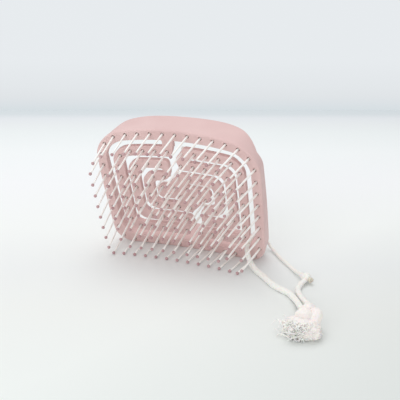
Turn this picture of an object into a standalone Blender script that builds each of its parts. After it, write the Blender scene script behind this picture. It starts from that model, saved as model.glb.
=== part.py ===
"""Palm hair brush: a leaning shell, a sprung labyrinth face, pins with ball tips and a cotton lanyard.

Face frame: x across the width, y up the face from its bottom edge, z out of the face.
The face frame leans forward, so the brush stands on its bottom front edge and its lowest ball tips.
The stand frame is upright, with its origin under the middle of the standing edge.
"""
import math
from collections import namedtuple

import bmesh
import bpy
from mathutils import Matrix, Vector

MM = 0.001

# Stance
LEAN = math.radians(17.1)

# Face outline
FACE_HEIGHT = 70.0 * MM
FACE_HALF_WIDTH = 42.2 * MM
FACE_RADIUS = 208.0 * MM
TOP_SAG = 4.2 * MM
TOP_CORNER = 13.5 * MM
BOTTOM_CORNER = 9.3 * MM
SIDE_DRAW = 4.0 * MM
WIDEST_SHARE = 0.6

# Shell walls
PLATE = 2.4 * MM
RIM_WALL = 1.2 * MM
CREASE = 1.0 * MM
LAND_TOP = 0.3 * MM
LAND_DEPTH = 1.3 * MM
SIDE_DEPTH = 3.3 * MM
SIDE_FALL = 3.6 * MM
CROWN_DEPTH = 12.4 * MM
CROWN_POWER = 4.5
CROWN_REACH_SHARE = 0.91
WALL_DRAFT = 0.9 * MM
BACK_ROUND = 0.7 * MM
INNER_FILLET = 0.5 * MM

# Labyrinth: the face ring left round the opening, then the slots and strips inside it
SIDE_RING = 5.0 * MM
TOP_RING = 5.6 * MM
SIDE_SLOT = 3.1 * MM
TOP_SLOT = 3.4 * MM
INNER_SIDE_SLOT = 1.6 * MM
INNER_TOP_SLOT = 2.1 * MM
LABYRINTH_SHIFT = 0.6 * MM
S_GAP_SHIFT = 1.3 * MM
OPENING_DRAW_SHARE = 0.75
INSIDE_DRAW_SHARE = 0.45
OPENING_CORNER = 10.0 * MM
LEAST_CORNER = 1.2 * MM

# Each strip from the outside in: its width at the sides and at the top as shares of the room beside the slots,
# then the corners of its outer and of its inner edge as shares of that edge's half height.
STRIP_SHARES = (
    (0.164, 0.284, 0.33, 0.21),
    (0.174, 0.254, 0.355, 0.316),
    (0.1775, 0.259, 0.58, 0.52),
)
CORE_CORNER_SHARE = 0.8
STRIP_END_ROUND = 1.8 * MM
SEAM = 0.3 * MM
ROOT_WIDTH = 5.6 * MM
ROOT_SHIFT = 4.4 * MM

# Pins, their strips and their ball tips
PIN_PITCH = 6.4 * MM
PIN_LENGTH = 17.9 * MM
PIN_BASE_RADIUS = 0.46 * MM
PIN_END_RADIUS = 0.36 * MM
PIN_HOLE_RADIUS = 0.95 * MM
BALL_RADIUS = 0.8 * MM
RIM_PIN_INSET = 2.7 * MM
RIM_PIN_TOP_INSET = 2.3 * MM
STRIP_THICKNESS = 1.2 * MM
STRIP_WIDTH = 3.0 * MM
RIM_STRIP_OUTSET = 0.6 * MM
RIM_STRIP_WIDTH = 1.8 * MM
STRIP_OVERHANG = 1.3 * MM
CORE_ROW_SHARE = 0.62
CORE_PITCH_SHARE = 0.465
CORE_SHIFT_SHARE = 0.088

# Lanyard
CORD_DIAMETER = 2.4 * MM
CORD_POINT_STEP = 2.4 * CORD_DIAMETER
KNOT_RADIUS = 2.3 * MM
TASSEL_RADIUS = 6.2 * MM
TASSEL_HALF_HEIGHT = 5.6 * MM
FRINGE_LENGTH = 9.0 * MM
FRINGE_ROOT_RADIUS = 3.6 * MM
FRINGE_END_RADIUS = 7.4 * MM
FRINGE_FLATTEN = 0.44

GAP = 0.3 * MM
OVERRUN = 2.0 * MM
BOW_STEP = 8.0 * MM
CORNER_SEGMENTS = 4
PIN_SIDES = 6
STRAIGHT_PIN = math.radians(1)
BALL_NECK = math.asin(PIN_END_RADIUS / BALL_RADIUS)
BALL_ANGLES = [math.radians(degrees) for degrees in (70, 125)]
HOLE_SIDES = 6
CORE_PINS_PER_ROW = 4

PARTS = "palm_hair_brush"
PINK = (0.62, 0.40, 0.39, 1.0)
NYLON = (0.90, 0.88, 0.84, 1.0)
COTTON = (0.88, 0.86, 0.82, 1.0)

Loop = namedtuple("Loop", "half_width half_height top_corner low_corner draw shift")
Pin = namedtuple("Pin", "root knee ball")


def clear_scene():
    for old in list(bpy.data.objects):
        bpy.data.objects.remove(old, do_unlink=True)


def make_collection(name):
    collection = bpy.data.collections.new(name)
    bpy.context.scene.collection.children.link(collection)
    return collection


def make_material(name, colour, roughness):
    material = bpy.data.materials.new(name)
    material.use_nodes = True
    shader = material.node_tree.nodes["Principled BSDF"]
    shader.inputs["Base Color"].default_value = colour
    shader.inputs["Roughness"].default_value = roughness
    shader.inputs["Metallic"].default_value = 0.0
    material.diffuse_color = colour
    return material


def make_object(name, mesh, collection, parent=None):
    obj = bpy.data.objects.new(name, mesh)
    collection.objects.link(obj)
    obj.parent = parent
    return obj


def make_part(name, mesh, look, parent):
    """One named piece with its own material: look is a colour and a roughness."""
    colour, roughness = look
    obj = make_object(name, mesh, parts, parent)
    mesh.name = name
    mesh.materials.clear()
    mesh.materials.append(make_material(name + "_finish", colour, roughness))
    mesh.shade_smooth()
    mesh.set_sharp_from_angle(angle=math.radians(35))
    return obj


def make_cutter(name, mesh):
    obj = make_object(name, mesh, cutters)
    obj.hide_render = True
    obj.display_type = "WIRE"
    return obj


def mesh_from(bm, name):
    mesh = bpy.data.meshes.new(name)
    bmesh.ops.recalc_face_normals(bm, faces=bm.faces)
    bm.to_mesh(mesh)
    bm.free()
    return mesh


def boolean(mesh, cutter_mesh, operation, name):
    """The mesh after one exact Boolean with the cutter mesh."""
    target = make_object(name + "_work", mesh, cutters)
    cutter = make_cutter(name, cutter_mesh)
    modifier = target.modifiers.new(operation.lower(), "BOOLEAN")
    modifier.operation = operation
    modifier.solver = "EXACT"
    modifier.object = cutter
    bpy.context.view_layer.update()
    evaluated = target.evaluated_get(bpy.context.evaluated_depsgraph_get())
    result = bpy.data.meshes.new_from_object(evaluated)
    bpy.data.objects.remove(target)
    bpy.data.objects.remove(cutter)
    return result


def bow(x):
    """How far the concave face stands forward of its middle."""
    return FACE_RADIUS - math.sqrt(FACE_RADIUS ** 2 - x ** 2)


def back_depth(x, y):
    """How far the skirt reaches behind the middle of the face: a broad crown, and sides that deepen downwards."""
    share = min(abs(x) / (CROWN_REACH_SHARE * FACE_HALF_WIDTH), 1.0)
    side = SIDE_DEPTH + SIDE_FALL * (1.0 - y / FACE_HEIGHT)
    return side + CROWN_DEPTH * (1.0 - share ** CROWN_POWER)


def face_normal(x):
    lean = math.asin(x / FACE_RADIUS)
    return Vector((-math.sin(lean), 0.0, math.cos(lean)))


def inset(loop, distance):
    return Loop(loop.half_width - distance, loop.half_height - distance,
                max(loop.top_corner - distance, LEAST_CORNER),
                max(loop.low_corner - distance, LEAST_CORNER), loop.draw, loop.shift)


def loop_point(loop, angle):
    """Where a ray from the middle of the face meets a rounded rectangle with drawn-in sides and a sagging top."""
    cos_a = abs(math.cos(angle))
    sin_a = abs(math.sin(angle))
    upper = math.sin(angle) > 0.0
    corner = loop.top_corner if upper else loop.low_corner
    centre_x = loop.half_width - corner
    centre_y = loop.half_height - corner
    if loop.half_width * sin_a <= centre_y * cos_a:
        reach = loop.half_width / cos_a
    elif loop.half_height * cos_a <= centre_x * sin_a:
        reach = loop.half_height / sin_a
    else:
        along = centre_x * cos_a + centre_y * sin_a
        reach = along + math.sqrt(along ** 2 - centre_x ** 2 - centre_y ** 2 + corner ** 2)
    x = reach * math.cos(angle)
    y = reach * math.sin(angle)
    fall = TOP_SAG * (x / FACE_HALF_WIDTH) ** 2 if upper else bow(x) * math.tan(LEAN)
    y_face = FACE_HEIGHT / 2 + y * (1.0 - fall / (FACE_HEIGHT / 2))
    off_widest = y_face / FACE_HEIGHT - WIDEST_SHARE
    x -= math.copysign(loop.draw * SIDE_DRAW * off_widest ** 2, x) * min(cos_a * reach / loop.half_width, 1.0)
    return x + loop.shift, y_face


def loop_angles(loop, start, end):
    """Angles from start to end that follow the corners and keep straight runs in short steps."""
    angles = []
    for side in (Vector((1, 1)), Vector((-1, 1)), Vector((-1, -1)), Vector((1, -1))):
        corner = loop.top_corner if side.y > 0 else loop.low_corner
        centre_x = loop.half_width - corner
        centre_y = loop.half_height - corner
        for step in range(CORNER_SEGMENTS + 1):
            turn = math.pi / 2 * step / CORNER_SEGMENTS
            x = side.x * (centre_x + corner * math.cos(turn))
            y = side.y * (centre_y + corner * math.sin(turn))
            angles.append(math.atan2(y, x))
        steps = max(1, round(centre_x / BOW_STEP))
        for step in range(steps):
            angles.append(math.atan2(side.y * loop.half_height, side.x * centre_x * step / steps))
        steps = max(1, round(centre_y / (2 * BOW_STEP)))
        for step in range(steps):
            angles.append(math.atan2(side.y * centre_y * step / steps, side.x * loop.half_width))
    turns = {round(a + 2 * math.pi * turn, 6) for a in angles for turn in (-1, 0, 1, 2)}
    least = SEAM / loop.half_width
    inside = [a for a in sorted(turns) if start + least < a < end - least]
    return [start] + inside + [end]


def band(outer, inner, start, end):
    """The outline of the strip between two loops, from the start angle round to the end angle."""
    outside = [loop_point(outer, a) for a in loop_angles(outer, start, end)]
    inside = [loop_point(inner, a) for a in loop_angles(inner, start, end)]
    return outside + inside[::-1]


def full_loop(loop):
    return [loop_point(loop, a) for a in loop_angles(loop, 0.0, 2 * math.pi)[:-1]]


def flat_solid(name, outline, low, high):
    """A closed plate of the outline, between two heights of the face frame."""
    curve = bpy.data.curves.new(name, "CURVE")
    curve.dimensions = "2D"
    curve.fill_mode = "BOTH"
    curve.extrude = (high - low) / 2
    spline = curve.splines.new("POLY")
    spline.points.add(len(outline) - 1)
    for point, (x, y) in zip(spline.points, outline):
        point.co = (x, y, 0.0, 1.0)
    spline.use_cyclic_u = True
    source = make_object(name, curve, cutters)
    bpy.context.view_layer.update()
    evaluated = source.evaluated_get(bpy.context.evaluated_depsgraph_get())
    mesh = bpy.data.meshes.new_from_object(evaluated)
    bpy.data.objects.remove(source)
    bm = bmesh.new()
    bm.from_mesh(mesh)
    bmesh.ops.remove_doubles(bm, verts=bm.verts, dist=SEAM / 100)
    bmesh.ops.translate(bm, verts=bm.verts, vec=(0.0, 0.0, (low + high) / 2))
    bmesh.ops.dissolve_limit(bm, angle_limit=math.radians(0.1), verts=bm.verts, edges=bm.edges)
    return mesh_from(bm, name)


def round_upright_edges(mesh, radius):
    """Rounds the sharp corners of a plate's outline."""
    bm = bmesh.new()
    bm.from_mesh(mesh)
    bmesh.ops.dissolve_limit(bm, angle_limit=math.radians(0.1), verts=bm.verts, edges=bm.edges)
    upright = []
    for edge in bm.edges:
        run = edge.verts[1].co - edge.verts[0].co
        is_upright = abs(run.normalized().z) > math.cos(math.radians(1))
        if is_upright and edge.is_convex and edge.calc_face_angle(0.0) > math.radians(48):
            upright.append(edge)
    bmesh.ops.bevel(bm, geom=upright, offset=radius, segments=3, profile=0.5, affect="EDGES", clamp_overlap=True)
    return mesh_from(bm, mesh.name)


def bow_mesh(mesh):
    """Cuts a plate into narrow steps of its width and bends it to the concave face."""
    bm = bmesh.new()
    bm.from_mesh(mesh)
    steps = math.ceil(FACE_HALF_WIDTH / BOW_STEP)
    for step in range(-steps, steps + 1):
        geometry = bm.verts[:] + bm.edges[:] + bm.faces[:]
        plane = (step * BOW_STEP + SEAM, 0.0, 0.0)
        bmesh.ops.bisect_plane(bm, geom=geometry, dist=SEAM / 1000, plane_co=plane, plane_no=(1.0, 0.0, 0.0))
    for vert in bm.verts:
        vert.co.z += bow(vert.co.x)
    return mesh_from(bm, mesh.name)


def islands(mesh):
    """The separate solids of a mesh, each as its own mesh."""
    bm = bmesh.new()
    bm.from_mesh(mesh)
    left = set(bm.faces)
    found = []
    while left:
        group = {left.pop()}
        front = list(group)
        while front:
            face = front.pop()
            for edge in face.edges:
                fresh = [f for f in edge.link_faces if f in left]
                left.difference_update(fresh)
                group.update(fresh)
                front.extend(fresh)
        found.append({f.index for f in group})
    bm.free()
    pieces = []
    for keep in found:
        bm = bmesh.new()
        bm.from_mesh(mesh)
        bm.faces.ensure_lookup_table()
        bmesh.ops.delete(bm, geom=[f for f in bm.faces if f.index not in keep], context="FACES")
        pieces.append(mesh_from(bm, mesh.name))
    return pieces


OUTLINE = Loop(FACE_HALF_WIDTH, FACE_HEIGHT / 2, TOP_CORNER, BOTTOM_CORNER, 1.0, 0.0)
OPENING = Loop(FACE_HALF_WIDTH - SIDE_RING, FACE_HEIGHT / 2 - TOP_RING, OPENING_CORNER, OPENING_CORNER,
               OPENING_DRAW_SHARE, 0.0)


def strip_edges():
    """The outer and the inner edge of each strip, from the outside in, then the edge of the core."""
    room_x = OPENING.half_width - SIDE_SLOT - len(STRIP_SHARES) * INNER_SIDE_SLOT
    room_y = OPENING.half_height - TOP_SLOT - len(STRIP_SHARES) * INNER_TOP_SLOT
    half_width = OPENING.half_width - SIDE_SLOT
    half_height = OPENING.half_height - TOP_SLOT
    draws = (OPENING_DRAW_SHARE, INSIDE_DRAW_SHARE, 0.0, 0.0)
    shift = 0.0
    edges = []
    for i, (side, top, outer_corner, inner_corner) in enumerate(STRIP_SHARES):
        corner = outer_corner * half_height
        edges.append(Loop(half_width, half_height, corner, corner, draws[i], shift))
        shift = LABYRINTH_SHIFT
        half_width -= side * room_x
        half_height -= top * room_y
        corner = inner_corner * half_height
        edges.append(Loop(half_width, half_height, corner, corner, draws[i + 1], shift))
        half_width -= INNER_SIDE_SLOT
        half_height -= INNER_TOP_SLOT
    corner = CORE_CORNER_SHARE * half_height
    edges.append(Loop(half_width, half_height, corner, corner, 0.0, shift))
    return edges


OUTER_EDGE, OUTER_INSIDE, MIDDLE_EDGE, MIDDLE_INSIDE, INNER_EDGE, INNER_INSIDE, CORE_EDGE = strip_edges()

# The labyrinth is the same after half a turn, so each slot is given once, for the left arm, by its angles.
OUTER_SLOT_DEGREES = (101, 257)
MIDDLE_SLOT_DEGREES = (128, 284)
INNER_SLOT_DEGREES = (148, 242)

# The S-shaped gap from the outer slot down to the core: across as a share of the opening's half width,
# up as a share of the way from the core's edge to the opening's, and its width as a share of the pins' pitch.
S_GAP_SHARES = (
    (0.062, 1.063, 0.83),
    (0.019, 0.886, 0.77),
    (-0.029, 0.748, 0.51),
    (-0.067, 0.650, 0.45),
    (-0.088, 0.532, 0.65),
    (-0.079, 0.413, 0.78),
    (-0.084, 0.315, 0.69),
    (-0.129, 0.197, 0.40),
    (-0.188, 0.098, 0.33),
    (-0.264, 0.047, 0.32),
)
RIBBON_STEPS = 2


def smooth_path(points, steps):
    """Points along a smooth curve through the given points."""
    path = []
    for i in range(len(points) - 1):
        before = points[max(i - 1, 0)]
        first = points[i]
        second = points[i + 1]
        after = points[min(i + 2, len(points) - 1)]
        for step in range(steps):
            t = step / steps
            bend = (2 * before - 5 * first + 4 * second - after) * t ** 2
            twist = (3 * first - before - 3 * second + after) * t ** 3
            path.append((2 * first + (second - before) * t + bend + twist) / 2)
    path.append(points[-1])
    return path


def s_gap_path():
    """The middle of the upper S-shaped gap as points, each with the gap's width as its third value."""
    low = FACE_HEIGHT / 2 + CORE_EDGE.half_height
    rise = OPENING.half_height - CORE_EDGE.half_height
    points = [Vector((across * OPENING.half_width, low + up * rise, width * PIN_PITCH))
              for across, up, width in S_GAP_SHARES]
    return smooth_path(points, RIBBON_STEPS)


def s_gap_x(y):
    """Where the S-shaped gap above or below the core crosses a height of the face."""
    is_lower = y < FACE_HEIGHT / 2
    level = FACE_HEIGHT - y if is_lower else y
    near = min(s_gap_path(), key=lambda point: abs(point.y - level))
    return 2 * S_GAP_SHIFT - near.x if is_lower else near.x


def s_gap_outline():
    path = s_gap_path()
    left = []
    right = []
    for i, point in enumerate(path):
        run = (path[min(i + 1, len(path) - 1)] - path[max(i - 1, 0)]).to_2d().normalized()
        across = Vector((run.y, -run.x)) * point.z / 2
        left.append((point.x + across.x, point.y + across.y))
        right.append((point.x - across.x, point.y - across.y))
    return left + right[::-1]


def half_turn(outline, centre_x=LABYRINTH_SHIFT):
    return [(2 * centre_x - x, FACE_HEIGHT - y) for x, y in outline]


def both_ways(name, outline, centre_x=LABYRINTH_SHIFT):
    """Cutters for an outline and for the same outline after half a turn of the labyrinth."""
    low = -PLATE - OVERRUN
    return [flat_solid(name + "_left", outline, low, OVERRUN),
            flat_solid(name + "_right", half_turn(outline, centre_x), low, OVERRUN)]


def rectangle(centre_x, centre_y, width, height):
    return [(centre_x + sx * width / 2, centre_y + sy * height / 2)
            for sx, sy in ((-1, -1), (1, -1), (1, 1), (-1, 1))]


def seam_outline(loop_out, loop_in, slot_end_degrees):
    """A thin level cut from the end of a left slot across the strip to the S-shaped gap."""
    angle = math.radians(slot_end_degrees)
    x = (loop_point(loop_out, angle)[0] + loop_point(loop_in, angle)[0]) / 2 - INNER_SIDE_SLOT / 2
    y = (loop_point(loop_out, angle)[1] + loop_point(loop_in, angle)[1]) / 2
    length = s_gap_x(y) - x
    return rectangle(x + length / 2, y, length, SEAM)


def labyrinth_pieces():
    """The face inside the outer slot: one meandering strip, cut at four seams."""
    plate = flat_solid("labyrinth", full_loop(OUTER_EDGE), -PLATE, 0.0)
    slots = []
    for name, outer, inner, degrees in (
            ("outer_slot", OUTER_INSIDE, MIDDLE_EDGE, OUTER_SLOT_DEGREES),
            ("middle_slot", MIDDLE_INSIDE, INNER_EDGE, MIDDLE_SLOT_DEGREES),
            ("inner_slot", INNER_INSIDE, CORE_EDGE, INNER_SLOT_DEGREES)):
        start, end = (math.radians(d) for d in degrees)
        slots += both_ways(name, band(outer, inner, start, end))
    slots += both_ways("s_gap", s_gap_outline(), S_GAP_SHIFT)
    for i, slot in enumerate(slots):
        plate = boolean(plate, slot, "DIFFERENCE", "slot_%d" % i)
    plate = round_upright_edges(plate, STRIP_END_ROUND)
    top = OPENING.half_height - GAP
    low = OUTER_EDGE.half_height - OVERRUN
    root = rectangle(-ROOT_SHIFT, (FACE_HEIGHT + top + low) / 2, ROOT_WIDTH, top - low)
    for i, outline in enumerate((root, half_turn(root, S_GAP_SHIFT))):
        plate = boolean(plate, flat_solid("root", outline, -PLATE, 0.0), "UNION", "root_%d" % i)
    outer_seam = seam_outline(OUTER_INSIDE, MIDDLE_EDGE, OUTER_SLOT_DEGREES[1])
    middle_seam = seam_outline(MIDDLE_INSIDE, INNER_EDGE, MIDDLE_SLOT_DEGREES[0])
    seams = both_ways("outer_seam", outer_seam) + both_ways("middle_seam", middle_seam)
    for i, seam in enumerate(seams):
        plate = boolean(plate, seam, "DIFFERENCE", "seam_%d" % i)

    def reach(piece):
        return max(abs(v.co.x) for v in piece.vertices)

    def spread(piece):
        return reach(piece) - min(abs(v.co.x) for v in piece.vertices)

    pieces = [piece for piece in islands(bow_mesh(plate)) if spread(piece) > STRIP_END_ROUND]
    print("labyrinth pieces:", len(pieces))

    def middle(piece):
        return sum(v.co.x for v in piece.vertices)

    by_reach = sorted(pieces, key=reach)
    core = by_reach[0]
    middle_right, middle_left = sorted(by_reach[1:3], key=middle, reverse=True)
    outer_right, outer_left = sorted(by_reach[3:5], key=middle, reverse=True)
    return {"outer_loop_left": outer_left, "outer_loop_right": outer_right,
            "middle_loop_left": middle_left, "middle_loop_right": middle_right, "core_loop": core}


def shell_mesh():
    """The skirt and face ring, lofted round the outline through a closed section."""
    inner = RIM_WALL + WALL_DRAFT
    section = (
        (OPENING, "face", 0.0),
        (inset(OUTLINE, CREASE), "face", 0.0),
        (inset(OUTLINE, (LAND_DEPTH - LAND_TOP) * math.tan(LEAN)), "face", LAND_TOP),
        (OUTLINE, "face", LAND_DEPTH),
        (inset(OUTLINE, WALL_DRAFT / 2), "middle", 0.0),
        (inset(OUTLINE, WALL_DRAFT), "back", BACK_ROUND),
        (inset(OUTLINE, WALL_DRAFT + BACK_ROUND), "back", 0.0),
        (inset(OUTLINE, inner), "back", BACK_ROUND),
        (inset(OUTLINE, RIM_WALL + WALL_DRAFT / 2), "middle", 0.0),
        (inset(OUTLINE, RIM_WALL), "face", PLATE + INNER_FILLET),
        (inset(OUTLINE, RIM_WALL + INNER_FILLET / 2), "face", PLATE),
        (OPENING, "face", PLATE),
    )
    angles = loop_angles(OUTLINE, 0.0, 2 * math.pi)[:-1]
    bm = bmesh.new()
    rows = []
    for loop, level, depth in section:
        row = []
        for angle in angles:
            x, y = loop_point(loop, angle)
            back = back_depth(x, y)
            heights = {"face": bow(x) - depth, "middle": (bow(x) - PLATE - back) / 2, "back": depth - back}
            row.append(bm.verts.new((x, y, heights[level])))
        rows.append(row)
    for i, row in enumerate(rows):
        after = rows[(i + 1) % len(rows)]
        for k in range(len(row)):
            nxt = (k + 1) % len(row)
            bm.faces.new((row[k], row[nxt], after[nxt], after[k]))
    return mesh_from(bm, "shell")


def centre_line(outer, inner):
    """The loop midway between the two edges of a strip."""
    return Loop(*((a + b) / 2 for a, b in zip(outer, inner)))


def spaced_angles(loop, degrees):
    """Angles that put pins at an even spacing along a stretch of a loop."""
    start, end = (math.radians(d) for d in degrees)
    count = 720
    samples = [start + (end - start) * i / count for i in range(count + 1)]
    points = [Vector(loop_point(loop, a)) for a in samples]
    lengths = [0.0]
    for a, b in zip(points, points[1:]):
        lengths.append(lengths[-1] + (b - a).length)
    spaces = max(1, round(lengths[-1] / PIN_PITCH))
    wanted = [lengths[-1] * i / spaces for i in range(spaces + 1)]
    angles = []
    for distance in wanted:
        i = min(range(len(lengths)), key=lambda j: abs(lengths[j] - distance))
        angles.append(samples[i])
    return angles


def split_runs(angles, loop, names):
    """Groups pin angles into straight runs, split where the loop turns its corners."""
    corner = math.atan2(loop.half_height, loop.half_width)
    limits = [corner, math.pi - corner, math.pi + corner, 2 * math.pi - corner]
    runs = {}
    for angle in angles:
        turn = angle % (2 * math.pi)
        side = sum(turn > limit for limit in limits) % 4
        runs.setdefault(names[side], []).append(angle)
    return runs


OUTER_LINE = centre_line(OUTER_EDGE, OUTER_INSIDE)
MIDDLE_LINE = centre_line(MIDDLE_EDGE, MIDDLE_INSIDE)
INNER_LINE = centre_line(INNER_EDGE, INNER_INSIDE)
RIM_LINE = inset(OUTLINE, RIM_PIN_INSET)._replace(half_height=OUTLINE.half_height - RIM_PIN_TOP_INSET)

# Where the pins start and end on the face ring, in degrees round the face.
RIM_PINS = (("top", (38, 142)), ("left", (150, 219)), ("bottom", (225.5, 314.5)), ("right", (319.5, 390.5)))

# The same on each loop: on its left arm, and on its right arm before half a turn.
ARM_PINS = (
    ("outer", "outer_loop", OUTER_LINE, (103.5, 267), (106, 265)),
    ("middle", "middle_loop", MIDDLE_LINE, (124, 269), (118, 269)),
    ("inner", "core", INNER_LINE, (138, 284), (138, 284)),
)


def pin_runs():
    """Every straight run of pins: its name, the body that carries it, its loop and its angles."""
    runs = []
    for side, degrees in RIM_PINS:
        runs.append(("rim_pins_" + side, "frame", RIM_LINE, spaced_angles(RIM_LINE, degrees)))
    for name, body, loop, left, right in ARM_PINS:
        for degrees, turn, sides in ((left, 0.0, ("right", "top_left", "left", "bottom_left")),
                                     (right, math.pi, ("left", "bottom_right", "right", "top_right"))):
            for side, group in split_runs(spaced_angles(loop, degrees), loop, sides).items():
                runs.append(("%s_pins_%s" % (name, side), body, loop, [a + turn for a in group]))
    return runs


def floor_height(point):
    """The height over the floor of a point of the face frame."""
    return point.y * math.cos(LEAN) - point.z * math.sin(LEAN) - LAND_DEPTH * math.sin(LEAN)


def make_pin(x, y):
    """A pin along the face's normal, bent up from the face where its ball would sink into the floor."""
    normal = face_normal(x)
    knee = Vector((x, y, bow(x)))
    direction = normal
    if floor_height(knee + normal * PIN_LENGTH) < BALL_RADIUS:
        down = (floor_height(knee) - BALL_RADIUS) / PIN_LENGTH
        forward = math.sqrt(1.0 - normal.x ** 2 - down ** 2)
        upright = Vector((normal.x, -forward, -down))
        direction = Matrix.Rotation(-(math.pi / 2 + LEAN), 3, "X") @ upright
    root = knee - normal * (PLATE + GAP + STRIP_THICKNESS / 2)
    return Pin(root, knee, knee + direction * PIN_LENGTH)


def strip_outline(loop, angles, outset, width):
    """The outline of the strip behind a run of pins, from just before the first to just past the last."""
    ends = []
    for angle, sign in ((angles[0], -1), (angles[-1], 1)):
        small = SEAM / loop.half_width
        here = Vector(loop_point(loop, angle))
        there = Vector(loop_point(loop, angle + small))
        ends.append(angle + sign * STRIP_OVERHANG * small / (there - here).length)
    return band(inset(loop, -outset), inset(loop, width - outset), ends[0], ends[1])


def aimed(start, end):
    """A frame at the start that looks along Z to the end, with X kept square to the Y of the parent."""
    z_axis = (end - start).normalized()
    x_axis = Vector((0.0, 1.0, 0.0)).cross(z_axis).normalized()
    turn = Matrix((x_axis, z_axis.cross(x_axis), z_axis)).transposed()
    return Matrix.Translation(start) @ turn.to_4x4()


def add_rod(bm, start, end, start_radius, end_radius, sides):
    place = aimed(start, end) @ Matrix.Translation((0.0, 0.0, (end - start).length / 2))
    bmesh.ops.create_cone(bm, cap_ends=True, segments=sides, radius1=start_radius, radius2=end_radius,
                          depth=(end - start).length, matrix=place)


def hole_cutters(pins):
    bm = bmesh.new()
    for pin in pins:
        out = (pin.knee - pin.root).normalized()
        add_rod(bm, pin.knee - out * (PLATE + OVERRUN / 4), pin.knee + out * OVERRUN / 4,
                PIN_HOLE_RADIUS, PIN_HOLE_RADIUS, HOLE_SIDES)
    return mesh_from(bm, "pin_holes")


def add_pin(bm, pin):
    """A tapered pin with its ball tip, as one closed solid."""
    rooted = aimed(pin.root, pin.knee)
    place = aimed(pin.knee, pin.ball)
    rings = [(rooted, PIN_BASE_RADIUS, 0.0)]
    if (pin.knee - pin.root).angle(pin.ball - pin.knee) > STRAIGHT_PIN:
        rings.append((place, PIN_BASE_RADIUS, 0.0))
    rings.append((place, PIN_END_RADIUS, PIN_LENGTH - BALL_RADIUS * math.cos(BALL_NECK)))
    rings += [(place, BALL_RADIUS * math.sin(a), PIN_LENGTH - BALL_RADIUS * math.cos(a)) for a in BALL_ANGLES]
    turns = [2 * math.pi * side / PIN_SIDES for side in range(PIN_SIDES)]
    rings = [[bm.verts.new(frame @ Vector((radius * math.cos(a), radius * math.sin(a), height))) for a in turns]
             for frame, radius, height in rings]
    tip = bm.verts.new(place @ Vector((0.0, 0.0, PIN_LENGTH + BALL_RADIUS)))
    bm.faces.new(rings[0])
    for side in range(PIN_SIDES):
        after = (side + 1) % PIN_SIDES
        for low, high in zip(rings, rings[1:]):
            bm.faces.new((low[side], low[after], high[after], high[side]))
        bm.faces.new((rings[-1][side], rings[-1][after], tip))


def pin_strip_mesh(name, outline, pins):
    """A thin strip behind the face with its row of pins."""
    top = -PLATE - GAP
    strip = bow_mesh(flat_solid(name, outline, top - STRIP_THICKNESS, top))
    bm = bmesh.new()
    for pin in pins:
        add_pin(bm, pin)
    return boolean(strip, mesh_from(bm, name), "UNION", name + "_pins")


def core_strip():
    """The two staggered rows of pins on the core, and the strip that carries both."""
    middle = FACE_HEIGHT / 2
    pitch = CORE_PITCH_SHARE * CORE_EDGE.half_width
    shift = CORE_SHIFT_SHARE * CORE_EDGE.half_width
    rise = CORE_ROW_SHARE * CORE_EDGE.half_height
    places = []
    for row in (1, -1):
        for i in range(CORE_PINS_PER_ROW):
            x = row * ((i - (CORE_PINS_PER_ROW - 1) / 2) * pitch - shift)
            places.append((CORE_EDGE.shift + x, middle + row * rise))
    width = (CORE_PINS_PER_ROW - 1) * pitch + 2 * (shift + STRIP_OVERHANG)
    outline = rectangle(CORE_EDGE.shift, middle, width, 2 * (rise + STRIP_OVERHANG))
    return outline, [make_pin(x, y) for x, y in places]


# The lanyard's route, from the slot at the lower right corner over the floor to the end knot,
# as points of the stand frame in millimetres.
CORD_FRONT_ROUTE = (
    (32.1, -4.5, 8.9), (32.1, -6.3, 8.0), (33.1, -8.9, 7.3), (34.2, -11.1, 6.3), (35.1, -12.2, 5.0),
    (36.2, -13.0, 3.6), (37.5, -14.0, 2.5), (39.4, -15.8, 1.8), (41.7, -18.0, 1.4), (44.6, -20.6, 1.3),
    (48.6, -24.8, 1.3), (52.2, -28.4, 1.3),
    (56.5, -31.4, 1.3), (60.9, -34.0, 1.4), (64.4, -38.2, 1.7), (67.2, -43.2, 2.6), (69.6, -48.6, 3.9),
    (71.6, -52.6, 4.9), (73.1, -55.1, 5.2),
)
CORD_BACK_ROUTE = (
    (32.1, -3.9, 9.1), (32.1, -0.9, 10.0), (32.2, 2.1, 10.8), (32.4, 5.2, 11.3), (32.9, 8.6, 11.1),
    (33.9, 11.6, 9.6), (35.3, 13.4, 7.0), (37.0, 13.6, 4.2), (39.3, 11.8, 2.2), (42.3, 8.6, 1.4),
    (46.3, 3.2, 1.3), (50.1, -1.2, 1.3), (54.0, -5.7, 1.3), (57.6, -10.1, 1.5), (60.6, -13.6, 2.1),
    (62.6, -15.6, 2.6),
)
CORD_TAIL_ROUTE = (
    (65.0, -20.6, 2.6), (64.0, -23.6, 1.9), (63.7, -27.4, 1.5), (64.6, -31.4, 1.5), (66.6, -35.6, 1.8),
    (69.2, -40.4, 2.6), (71.8, -45.4, 3.9), (74.2, -50.2, 5.2), (75.75, -54.1, 5.8),
)
KNOT_PLACE = (64.6, -17.6, 2.6)
TASSEL_PLACE = (76.6, -60.6, 5.7)
FRINGE_HEADING = (-0.52, -0.85, 0.0)
ROUTE_STEPS = 8


def route_points(route):
    """Evenly spaced points along a smooth curve through the route."""
    fine = smooth_path([Vector(point) * MM for point in route], ROUTE_STEPS)
    length = sum((b - a).length for a, b in zip(fine, fine[1:]))
    spaces = max(2, round(length / CORD_POINT_STEP))
    points = [fine[0]]
    walked = 0.0
    for a, b in zip(fine, fine[1:]):
        step = (b - a).length
        while len(points) < spaces and walked + step >= length * len(points) / spaces:
            points.append(a.lerp(b, (length * len(points) / spaces - walked) / step))
        walked += step
    return points + [fine[-1]]


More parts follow.
